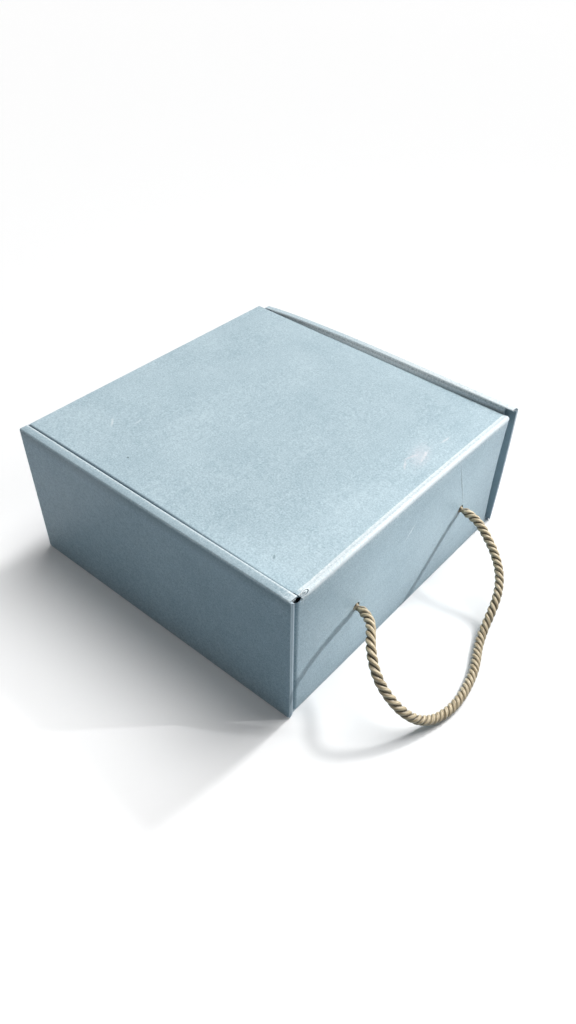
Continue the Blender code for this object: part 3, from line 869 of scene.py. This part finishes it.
def end_wall_grids(face, way, levels, sunk, lines):
    """Outer and inner grid of an end wall, whose board lies in the direction way from its face.

    The depth of a point is the sum of two roundings: the corner's, which depends on y, and the
    floor crease's, which depends on the height. sunk is the outer face's own depth at each level.
    Returns both grids, the heights of the rows and the places of the columns.
    """
    heights = np.concatenate([foot_heights[:-1], levels])
    insets = np.concatenate([foot_insets[:-1], sunk])
    share = (heights - heights[0]) / (heights[-1] - heights[0])
    inner_heights = board_thickness + (heights[-1] - board_thickness) * share
    grids = []
    for board_depth, level, inset in ((0.0, heights, insets),
                                      (board_thickness, inner_heights, 0 * insets)):
        depth, out = corner_path(wall_turns, (), board_depth)
        flat = np.full(len(lines) - 2, board_depth)
        depth = np.concatenate([depth[::-1], flat, depth])[:, None]
        grid = np.empty((len(depth), len(heights), 3))
        grid[..., 0] = face + way * (depth + inset[None])
        grid[..., 1] = np.concatenate([-out[::-1], lines[1:-1], out])[:, None]
        grid[..., 2] = level[None]
        grids.append(grid)
    return *grids, heights, grids[0][:, 0, 1]


print("the floor fold starts", round(foot_heights[0] * 1000, 2), "mm up")

# %% Grid of the handle wall
hole_radius = rope_diameter / 2 + 0.3 * mm
hole_square = 7.0 * mm
line_slack = 1e-6
crease_level = 103.2 * mm
crease_reach = 3.2 * mm
crease_paper_thickness = 0.5 * mm
paper_foot = crease_level - crease_reach


def with_square(lines, middle):
    """Nine even grid lines across a hole's square, in place of those that were there."""
    outside = lines[np.abs(lines - middle) > hole_square + line_slack]
    fine = middle + np.linspace(-1, 1, 9) * hole_square
    return np.unique(np.round(np.concatenate([outside, fine]), 7))


levels = with_square(lines_through(fold_radius, paper_foot, 7 * mm, hole_height - hole_square,
                                   hole_height + hole_square), hole_height)
lines = lines_through(-fold_from, fold_from, 7 * mm, right_hole - hole_square,
                      right_hole + hole_square, left_hole - hole_square, left_hole + hole_square)
for hole in (right_hole, left_hole):
    lines = with_square(lines, hole)
# the last three rows slip behind the crease paper
under_paper = paper_foot + np.array([0.02, 0.6, 1.2]) * mm
behind = crease_paper_thickness + np.array([0.03, 0.08, 0.3]) * mm
sunk = np.concatenate([np.zeros(len(levels)), behind])
outer, inner, heights, y = end_wall_grids(hinge_face, -1, np.concatenate([levels, under_paper]),
                                          sunk, lines)
print("the handle wall's grid is", len(y), "by", len(heights))

# %% Handle wall
half_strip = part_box("hinge_strip")[1][1]
crease_right, crease_left = -half_strip - 1.4 * mm, half_strip + 2.4 * mm
holes = []
for hole in (right_hole, left_hole):
    i0, i1 = (int(np.argmin(np.abs(y - hole - side * hole_square))) for side in (-1, 1))
    j0, j1 = (int(np.argmin(np.abs(heights - hole_height - side * hole_square)))
              for side in (-1, 1))
    inner[i0:i1 + 1, j0:j1 + 1, 1:] = outer[i0:i1 + 1, j0:j1 + 1, 1:]
    holes.append(((i0, i1, j0, j1), np.array([hole, hole_height]), hole_radius))
beyond = np.maximum(ease(-y, -crease_right - 1 * mm, -crease_right + 0.5 * mm),
                    ease(y, crease_left - 1 * mm, crease_left + 0.5 * mm))[:, None]
outer[:, -3:, 0] += behind * beyond
inner[..., 2] -= 3.5 * mm * (ease(np.abs(inner[..., 1]), 113 * mm, 116.5 * mm)
                             * ease(inner[..., 2], 88 * mm, 100 * mm))
left_fold = 0.75 * bell(y, fold_from + 1.4 * mm, 1.0 * mm)[:, None]
below_crease = 0.50 * ease(heights, paper_foot - 2.4 * mm, paper_foot)[None] * (1 - beyond)
# The right end, where the wall turns round the corner, is darkened by painted shade.
fit(make_plate("handle_wall_board", bow_body(outer, True), bow_body(inner, True), holes=holes,
               rub_and_painted_light=np.maximum(left_fold, below_crease),
               shade=0.35 * ease(-y, fold_from, fold_from + 2.5 * mm)[:, None],
               finishes=(wall_paper, liner, board)),
    "box_body", "hinge_wall")

# %% Front wall
levels = lines_through(fold_radius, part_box("front_wall")[1][2], 7 * mm)
outer, inner, heights, y = end_wall_grids(front_face, 1, levels, np.zeros(len(levels)),
                                          lines_through(-fold_from, fold_from, 7 * mm))
fit(make_plate("front_wall_board", bow_body(outer), bow_body(inner), rub_and_painted_light=edge_rub(y, heights)),
    "box_body", "front_wall")

# %% Corner flaps
flap_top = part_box("rear_left_corner_flap")[1][2]
flap_taper = 12 * mm
neck_share = 0.30


def corner_flap_grid(face, way, side, tip, board_depth):
    """One face of a corner flap: the corner's plan, then straight on to the tip.

    Its top edge falls at the neck by a share of the taper and at the tip by the whole taper.
    """
    depth, out = corner_path(np.radians([45.0, 47.5, 50.0]), np.radians(np.linspace(50, 90, 6)),
                             board_depth)
    run = grid_lines(corner_reach, abs(tip - face), 7 * mm)[1:]
    reach = np.concatenate([depth, run])
    near_tip = np.clip((reach - (reach[-1] - flap_taper)) / flap_taper, 0, 1)
    fall = flap_taper * np.maximum(near_tip, neck_share * (1 - ease(reach, 3 * mm, 16 * mm)))
    level = np.linspace(0, 1, 15)[None]
    grid = np.empty((len(reach), level.size, 3))
    grid[..., 0] = (face + way * reach)[:, None]
    grid[..., 1] = side * np.concatenate([out, np.full(len(run), wall_end - board_depth)])[:, None]
    grid[..., 2] = floor_top + (flap_top - fall - floor_top)[:, None] * level
    return bow_body(grid, way < 0)


for end_name, face, way in (("rear", hinge_face, -1), ("front", front_face, 1)):
    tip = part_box(end_name + "_left_corner_flap")[0 if way < 0 else 1][0]
    for side_name, side in sides:
        outer, inner = (corner_flap_grid(face, way, side, tip, board_depth)
                        for board_depth in (0.0, board_thickness))
        fit(make_plate(end_name + "_" + side_name + "_flap_board", outer, inner),
            "box_body", end_name + "_" + side_name + "_corner_flap")

# %% [markdown]
# ## Floor of the box
# The floor is one panel with four slots. Tabs of the inner walls are pushed into them.

# %% Floor panel
slot_near = side_face - roll_width - 0.3 * mm
slot_far = slot_near + board_thickness + 0.6 * mm
slot_slack = np.repeat([-0.3, 0.3], 2) * mm
slot_ends = tab_ends + slot_slack
x_lines = lines_through(front_face, hinge_face, 8 * mm, *slot_ends)
y_lines = lines_through(-side_face, side_face, 8 * mm, -slot_far, -slot_near, slot_near, slot_far)
depth = hinge_face - front_face
outer = np.zeros((len(x_lines), len(y_lines), 3))
outer[..., 0], outer[..., 1] = x_lines[:, None], y_lines[None]
# the upper face is drawn in by a board's thickness on all four sides, where the walls stand
inner = np.full_like(outer, board_thickness)
inner[..., 0] = (front_face + board_thickness
                 + (x_lines - front_face) * (depth - 2 * board_thickness) / depth)[:, None]
inner[..., 1] = (y_lines * (side_face - board_thickness) / side_face)[None]
x_middle = (x_lines[:-1] + x_lines[1:])[:, None] / 2
y_middle = np.abs(y_lines[:-1] + y_lines[1:]) / 2
in_slot_x = ((x_middle > slot_ends[:2]) & (x_middle < slot_ends[2:])).any(axis=1)
in_slot_y = (y_middle > slot_near) & (y_middle < slot_far)
fit(make_plate("floor_panel_board", outer, inner, kept=~(in_slot_x[:, None] & in_slot_y[None])),
    "box_body", "base_panel")

# %% [markdown]
# ## Lid, strip and front flap
# The lid turns on two creases with a narrow strip between them, so that it can lie over the box
# and also fold right back. Its front flap hangs over the front wall.

# %% Crease strip
# Outer corners of the creases (x, z). The second one is the axis of the lid's joint in the model.
wall_crease = (hinge_face, crease_level)
lid_crease = (114.666 * mm, 102.4 * mm)
lid_edge = (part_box("front_flap")[0][0], box_top + 0.2 * mm)
flap_foot = (lid_edge[0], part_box("front_flap")[0][2])
strip_reach = 2.6 * mm
crease_half = 0.9 * mm
edge_reach = 1.6 * mm
crease_stations = grid_lines(crease_right, crease_left, 4 * mm)


def unworn_end(y):
    """1 along the creases and 0 on their last millimetres at the right, where nothing rubs."""
    return 1 - ease(-y, 113.2 * mm, 115.2 * mm)


outer, inner, way = panel_section(wall_crease, lid_crease, 1, strip_reach, crease_half, 0.5 * mm)
rub_and_painted_light = 0.50 + 0.16 * ease(way / way[-1], 0.4, 1.0)[None]
fit(make_plate("crease_strip_board", bow_lid(run_along(1, outer, crease_stations)),
               bow_lid(run_along(1, inner, crease_stations)),
               rub_and_painted_light=rub_and_painted_light * unworn_end(crease_stations)[:, None], ends=(0, -1)),
    "strip", "hinge_strip")

# %% Lid: its long edges are rounded, and have painted shade right where they lie against the rolled sides
side_round = 0.5 * mm
stations = grid_lines(-half_lid, half_lid, 6 * mm,
                      np.array([0.1, 0.25, 0.5, 0.9, 1.3, 1.7, 2.2]) * mm)
outer, inner = panel_section(lid_crease, lid_edge, 1, crease_half, edge_reach, 6 * mm)[0:2]
top = run_along(1, outer, stations)
to_round = side_round - np.clip(half_lid - np.abs(stations), 0, side_round)
top[..., 2] -= (side_round - np.sqrt(side_round ** 2 - to_round ** 2))[:, None]
# painted shade in the gaps beside the rolled sides, darker on the right
right_gap_shade = 0.95 * np.exp(-((half_lid + stations) / (1.5 * mm)) ** 4)
left_gap_shade = 0.25 * bell(stations, half_lid, 0.8 * mm)
fit(make_plate("lid_board", bow_lid(top), bow_lid(run_along(1, inner, stations)),
               shade=np.where(stations < 0, right_gap_shade, left_gap_shade)[:, None],
               finishes=(lid_paper, liner, board)),
    "lid", "lid_panel")

# %% Front flap
corner_radius = 9 * mm
side_taper = 4 * mm
outer, inner = panel_section(lid_edge, flap_foot, 1, edge_reach, 0.0, 5 * mm)[0:2]
drop = lid_edge[1] - outer[:, 1]
low = np.clip(1 - (outer[:, 1] - flap_foot[1]) / corner_radius, 0, 1)
half_width = half_lid - side_taper * drop / drop[-1] - corner_radius * (1 - np.sqrt(1 - low ** 2))


def flap_grid(section):
    """The flap's section carried across, where the width at each height comes from its plan."""
    grid = run_along(1, section, np.linspace(-1, 1, 61))
    grid[..., 1] *= half_width[None]
    return bow_lid(grid)


fit(make_plate("front_flap_board", flap_grid(outer), flap_grid(inner)), "flap", "front_flap")

# %% [markdown]
# ## Creases
# At a crease the board is crushed thin and the paper bridges from panel to panel. The paper of a
# crease belongs to two panels at once, so on the two creases of the lid and on that of its flap it
# is a piece of its own.

# %% Crease paper
end_slant = 1.4 * mm


def slanted(grid, height):
    """Draws the right end of a crease back along Y below its edge, so that its cut looks up.

    The shift grows with the depth below the crease and with the nearness of the end. height is the
    z of the outer skin, also for the lining.
    """
    low = 1 - np.clip((height - paper_foot) / (3 * mm), 0, 1)
    moved = grid.copy()
    moved[..., 1] += ease(-grid[..., 1], -crease_right - 9 * mm, -crease_right) * end_slant * low
    return moved


def crease_piece(name, before, corner, after, reaches, stations, wear):
    """A strip of paper that rounds the corner of a crease.

    Its line is a parabola from a point before the corner to one after it, each as far off as its
    reach. wear gives the rub from the share of the way across and the place along the crease.
    """
    before, corner, after = (np.array(p, float) for p in (before, corner, after))
    first = (before - corner) / np.linalg.norm(before - corner) * reaches[0]
    second = (after - corner) / np.linalg.norm(after - corner) * reaches[1]
    t = np.linspace(-1, 1, 21)[:, None]
    outer = corner + first * ((1 - t) / 2) ** 2 + second * ((1 + t) / 2) ** 2
    slope = -first * (1 - t) + second * (1 + t)
    slope = slope / np.linalg.norm(slope, axis=1)[:, None]
    normal = np.stack([-slope[:, 1], slope[:, 0]], axis=1)
    way = lengths_along(outer)
    grids = [run_along(1, line, stations)
             for line in (outer, outer + normal * crease_paper_thickness)]
    if stations is crease_stations:
        grids = [slanted(grid, grids[0][..., 2]) for grid in grids]
    piece = make_plate(name, *(bow_lid(grid) for grid in grids),
                       rub_and_painted_light=wear((way / way[-1])[None], stations[:, None]))
    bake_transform(piece)


def wall_crease_wear(share, y):
    """A level that rises at once and falls slowly, less a bell curve: a dark line in the band.

    The line lies nearer the middle of the band towards the right end, which is the most worn.
    """
    whitened = 1 - ease(y, -85 * mm, -35 * mm)
    level = 0.60 + 0.20 * ease(share, 0.0, 0.15) - 0.17 * ease(share, 0.2, 0.6)
    return level - 0.14 * bell(share, 0.88 - 0.12 * whitened, 0.09)


def lid_crease_wear(share, y):
    """Worn up to the lid's edge, and fading out on the lid by a smooth step."""
    return 0.64 * (1 - ease(share, 0.5, 1.0)) * unworn_end(y)


def flap_crease_wear(share, y):
    """A faint bell curve along the whole crease."""
    return 0.3 * bell(share, 0.5, 0.2) + 0 * y


crease_piece("wall_crease_paper", (hinge_face, 0.0), wall_crease, lid_crease,
             (crease_reach, strip_reach), crease_stations, wall_crease_wear)
crease_piece("lid_crease_paper", wall_crease, lid_crease, lid_edge, (crease_half, crease_half),
             crease_stations, lid_crease_wear)
crease_piece("flap_crease_paper", lid_crease, lid_edge, flap_foot, (edge_reach, edge_reach),
             grid_lines(-half_lid, half_lid, 4 * mm), flap_crease_wear)

# %% [markdown]
# ## Loosened loop
# At the right end of the creases the paper has come off and stands up as a small flat loop. It is
# a ring tube, drawn out to an oval and laid on the slope of the crease. Its outer half is pale, and
# its inner half is painted dark as shade.

# %% Loosened loop at the crease's right end
loop_centre = np.array([119.3, -113.4, 104.0]) * mm
half_long, half_wide = 3.0 * mm, 1.35 * mm
slope_share = 0.707
around = np.linspace(0, 2 * np.pi, 48, endpoint=False)[:, None]
across = np.linspace(0, 2 * np.pi, 12, endpoint=False)[None]
tube = 0.45 * mm * (1 + 0.2 * np.cos(2 * around))
along_slope = (half_wide + tube * np.cos(across)) * np.sin(around)
lift_off = tube * np.sin(across)
loop_points = loop_centre + np.stack([
    (along_slope + lift_off) * slope_share, (half_long + tube * np.cos(across)) * np.cos(around),
    (lift_off - along_slope) * slope_share], axis=2)
index = np.arange(lift_off.size).reshape(lift_off.shape)
beside, after = np.roll(index, -1, axis=1), np.roll(index, -1, axis=0)
# the inner half of the tube is painted dark as shade, the outer half pale
inside_ring = np.broadcast_to(ease(-np.cos(across), -0.2, 0.6), lift_off.shape).ravel()
loop = make_mesh("crease_end_loop", bow_lid(loop_points).reshape(-1, 3),
                 quads(index, beside, np.roll(beside, -1, axis=0), after), np.zeros(index.size),
                 (paper,), {"rub_and_painted_light": 0.9 - 0.9 * inside_ring, "shade": inside_ring}, 80)
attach(loop, "strip")
print("the loop is", round(float(np.ptp(loop_points[..., 1])) * 1000, 1), "mm long")

# %% [markdown]
# ## Twisted rope
# Three strands are laid round each other to the left. A strand is a tube whose middle runs on a
# helix round the rope's line. Where three equal round strands touch, their middles lie at 0.54 of
# the rope's radius, and each strand has 0.46 of it. Here they have 0.475, because soft strands are
# pressed together. The cord is spun of cotton, so fine dull fibres run along every strand, and the
# grooves between the strands are painted dark as shade. Real fibres are too fine to show, so they
# are drawn 0.5 mm wide and 6 mm long.

# %% Rope material
fibre_share = 0.35
cotton, tree, shader, place = new_finish("twisted_cotton_cord", 0.38)
fibre_way = add_node(tree, "Attribute", attribute_name="fibre").outputs["Vector"]
yarn = add_node(tree, "TexNoise", {
    "Vector": fibre_way, "Scale": 1 / fibre_share, "Detail": 3.0, "Roughness": 0.65})
tone = add_node(tree, "MapRange", {"Value": yarn, "From Min": 0.3, "From Max": 0.7})
thread = add_node(tree, "Mix", {
    "Factor": tone, "A": linear("#7A6238"), "B": linear("#FFEECB")}, data_type="RGBA")
# The grooves between the strands are painted dark, as shade.
groove_shade = add_node(tree, "Attribute", attribute_name="groove_shade").outputs["Fac"]
feed(shader["Base Color"], add_node(tree, "Mix", {
    "Factor": groove_shade, "A": thread, "B": linear("#1E1606")}, data_type="RGBA"))
feed(shader["Sheen Weight"], 0.1)
feed(shader["Normal"], add_node(tree, "Bump", {
    "Height": yarn, "Strength": 0.5, "Distance": 0.00025}))
print("a fibre is as wide as", fibre_share, "of a strand's radius")

# %% Laying the strands
strand_circle = 0.54
strand_share = 0.475
lay_length = 15.8 * mm
tube_sides = 14
# the fibre pattern has 60 units to a metre along the rope, and one unit to a strand's radius round it
fibre_stretch = 60


def carried_frame(line):
    """A pair of directions across the line that doesn't twist: each is the last one, leaned over.

    At every step the old direction loses its part along the new tangent and is made one long.
    """
    tangent = np.gradient(line, axis=0)
    tangent /= np.linalg.norm(tangent, axis=1)[:, None]
    across = np.empty_like(line)
    now = np.cross(tangent[0], [0.0, 0.0, 1.0])
    for step, t in enumerate(tangent):
        now = now - t * (now @ t)
        now = now / np.linalg.norm(now)
        across[step] = now
    return across, np.cross(tangent, across)


def lay_rope(name, line, diameter, lay):
    """Three tubes on left-hand helices round a line, each closed at both ends.

    lay is the length of rope on which the strands go once round, at each point of the line. The
    turns made so far are the running sum of the steps, each divided by the lay there.
    """
    side, up = carried_frame(line)
    along = lengths_along(line)
    lay = np.broadcast_to(lay, along.shape)
    turns = np.concatenate([[0.0], np.cumsum(np.diff(along) / lay[1:])])
    angle = np.linspace(0, 2 * np.pi, tube_sides, endpoint=False)
    cosine, sine = np.cos(angle)[None, :, None], np.sin(angle)[None, :, None]
    # the fibres follow the strand: round it as it turns, and drawn out along the rope
    twist = angle[None] + 2 * np.pi * turns[:, None]
    fibre = np.stack([np.cos(twist), np.sin(twist),
                      np.broadcast_to(along[:, None] * fibre_stretch, twist.shape)], axis=2)
    index = np.arange(twist.size).reshape(twist.shape)
    beside = np.roll(index, -1, axis=1)
    tips = twist.size + np.array([[0], [1]]) + 0 * index[:2]
    strand_faces = np.vstack([quads(index[:-1], beside[:-1], beside[1:], index[1:]),
                              quads(index[0], tips[0], beside[0], beside[0]),
                              quads(index[-1], beside[-1], tips[1], tips[1])])
    points, faces, fibres, groove_shades = [], [], [], []
    for strand in range(3):
        phase = -2 * np.pi * turns + 2 * np.pi * strand / 3
        out = side * np.cos(phase)[:, None] + up * np.sin(phase)[:, None]
        middle = line + out * strand_circle * diameter / 2
        first, second = carried_frame(middle)
        ring = first[:, None] * cosine + second[:, None] * sine
        tube = middle[:, None] + ring * strand_share * diameter / 2
        from_line = np.linalg.norm(tube - line[:, None], axis=2) / (diameter / 2)
        faces.append(strand_faces + strand * (twist.size + 2))
        points += [tube.reshape(-1, 3), middle[[0, -1]]]
        fibres += [fibre.reshape(-1, 3), np.zeros((2, 3))]
        # painted shade in the grooves, strongest nearest the rope's line
        groove_shades += [1 - ease(from_line, 0.66, 1.05).ravel(), np.zeros(2)]
    faces = np.vstack(faces)
    piece = make_mesh(name, np.vstack(points), faces, np.zeros(len(faces)), (cotton,),
                      {"groove_shade": np.concatenate(groove_shades)}, 80)
    layer = piece.data.attributes.new("fibre", "FLOAT_VECTOR", "POINT")
    layer.data.foreach_set("vector", np.vstack(fibres).ravel().astype(np.float32))
    return piece


print("a strand is", round(strand_share * rope_diameter * 1000, 1), "mm thick")

# %% Rope: its strands are drawn closer together where it bends on the table
share = lengths_along(rope_line) / rope_length
lay_shares = np.interp(share, [0.0, 0.26, 0.36, 0.48, 0.60, 1.0],
                       [1.0, 1.0, 0.72, 0.78, 0.92, 0.90])
rope = lay_rope("carry_rope_strands", rope_line, rope_diameter, lay_length * lay_shares)
fit(rope, "box_body", "carry_rope")

# %% [markdown]
# ## Knots
# Behind the wall each end is stopped by a knot. The rope goes in, turns back and winds 1.7 times
# round itself, drawn up tight.

# %% Knots
knot_turns = 1.7
knot_reach = 5.4 * mm
knot_rope_diameter = 5.6 * mm
knots = []
t = np.linspace(0, 1, 160)
angle = 2 * np.pi * knot_turns * np.clip((t - 0.28) / 0.62, 0, 1)
out = knot_reach * ease(t, 0.18, 0.38) + ease(t, 0.88, 1.0) * 3.0 * mm
back = np.interp(t, [0, 0.22, 0.32, 0.9, 1.0], [0.5, 9.0, 9.6, 3.6, 5.5]) * mm
for name, hole in (("right", right_hole), ("left", left_hole)):
    line = np.stack([wall_back - 0.6 * mm - back, hole + out * np.cos(angle),
                     hole_height + out * np.sin(angle)], axis=1)
    knots.append(lay_rope("rope_knot_" + name + "_strands", line,
                          knot_rope_diameter, lay_length))
    fit(knots[-1], "box_body", "rope_knot_" + name)

# %% [markdown]
# ## Magnets
# The four magnets are plain discs, which the stiff model already has right. They keep its shape and
# only get the nickel finish.

# %% Nickel on the magnets
for node in ("right_flap_magnet", "left_flap_magnet", "right_wall_magnet", "left_wall_magnet"):
    for slot_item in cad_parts[node].material_slots:
        slot_item.material = nickel
    print(node, "is of", nickel.name)

# %% [markdown]
# ## Table and light
# The table is a plain white floor. The camera, mirrors and glass see it and the sky as white. For
# all other rays the sky is dim and the table blue grey, as in a large room, so that little light is
# thrown back at the box. A broad soft light stands high on the left side, and below it a narrower
# window light draws the rope's shadow on the table. A row of small spots grazes the handle wall and
# draws the thin shadow of the rope there. Each of them lights only its own piece of the wall, so
# that little of their light falls on the table. Four soft spots from above fade the box's long
# shadow beside its right side, and a small lamp reaches the far hinge corner.

# %% Table


def looked_at(tree):
    """1 for rays that come from the camera, a mirror or glass, and 0 for bounced light."""
    ray = add_node(tree, "LightPath").outputs
    seen = add_node(tree, "Math", {0: ray["Is Camera Ray"], 1: ray["Is Glossy Ray"]},
                    operation="MAXIMUM")
    return add_node(tree, "Math", {0: seen, 1: ray["Is Transmission Ray"]}, operation="MAXIMUM")


table_data = bpy.data.meshes.new("table")
reach = 6.0
corners = [(-reach, -reach, 0), (reach, -reach, 0), (reach, reach, 0), (-reach, reach, 0)]
table_data.from_pydata(corners, [], [(0, 1, 2, 3)])
table = bpy.data.objects.new("table", table_data)
bpy.context.collection.objects.link(table)
table_gap = 0.2 * mm
table.location.z = -table_gap
white_top, tree, shader, place = new_finish("white_table_top", 0.9)
feed(shader["Base Color"], add_node(tree, "Mix", {
    "Factor": looked_at(tree), "A": linear("#7C909D"), "B": linear("#FCFCFC")}, data_type="RGBA"))
feed(shader["Specular IOR Level"], 0.2)
table_data.materials.append(white_top)
print("the table is", 2 * reach, "m wide")

# %% Light
world = bpy.data.worlds.new("even light")
bpy.context.scene.world = world
world.use_nodes = True
background = world.node_tree.nodes["Background"].inputs
feed(background["Strength"], add_node(world.node_tree, "MapRange", {
    "Value": looked_at(world.node_tree), "To Min": 0.16, "To Max": 1.0}))
feed(background["Color"], (1, 1, 1, 1))


def light_way(from_left, elevation):
    """Way of light that travels to the right, turned towards the front, from angles in degrees."""
    a, e = math.radians(from_left), math.radians(elevation)
    return Vector((-math.sin(a) * math.cos(e), -math.cos(a) * math.cos(e), -math.sin(e)))


def put_light(name, kind, place, way, **settings):
    """A lamp at a place, turned so that it shines along a way."""
    data = bpy.data.lights.new(name, kind)
    for label, value in settings.items():
        setattr(data, label, value)
    lamp = bpy.data.objects.new(name, data)
    bpy.context.collection.objects.link(lamp)
    lamp.location = place
    lamp.rotation_mode = "QUATERNION"
    lamp.rotation_quaternion = way.to_track_quat("-Z", "Y")


for name, from_left, elevation, energy, width in (
        ("broad soft light", 8, 68, 1.70, 38), ("window light", 3, 43, 1.55, 7.5)):
    put_light(name, "SUN", (0, 0, 1), light_way(from_left, elevation), energy=energy,
              angle=math.radians(width))

strip_distance = 1.6
strip_patch_radius = 0.068
strip_lamp = Vector((0.1195, 0.020, 0.050)) - light_way(50, 19) * strip_distance
for number, y in enumerate(np.linspace(-0.105, 0.125, 8)):
    put_light("strip light %d" % (number + 1), "SPOT", strip_lamp,
              Vector((0.1195, y, 0.058)) - strip_lamp, energy=16.5, spot_blend=0.5,
              spot_size=2 * math.atan(strip_patch_radius / strip_distance),
              shadow_soft_size=0.012)

side_height = 1.2
side_patch_radius = 0.125
for number, x in enumerate((-0.17, -0.08, 0.01, 0.10)):
    put_light("right side light %d" % (number + 1), "SPOT", Vector((x, -0.255, side_height)),
              Vector((0, 0, -1)), energy=10.5, spot_blend=1.0,
              spot_size=2 * math.atan(side_patch_radius / side_height),
              shadow_soft_size=0.05)

corner_lamp = Vector((0.35, 0.40, 0.55))
put_light("far corner light", "AREA", corner_lamp, Vector((0.10, 0.10, 0.10)) - corner_lamp,
          energy=0.70, shape="DISK", size=0.25)
print("lamps:", len(bpy.data.lights))

bpy.context.scene.view_settings.view_transform = "Standard"

low, high = stiff_box
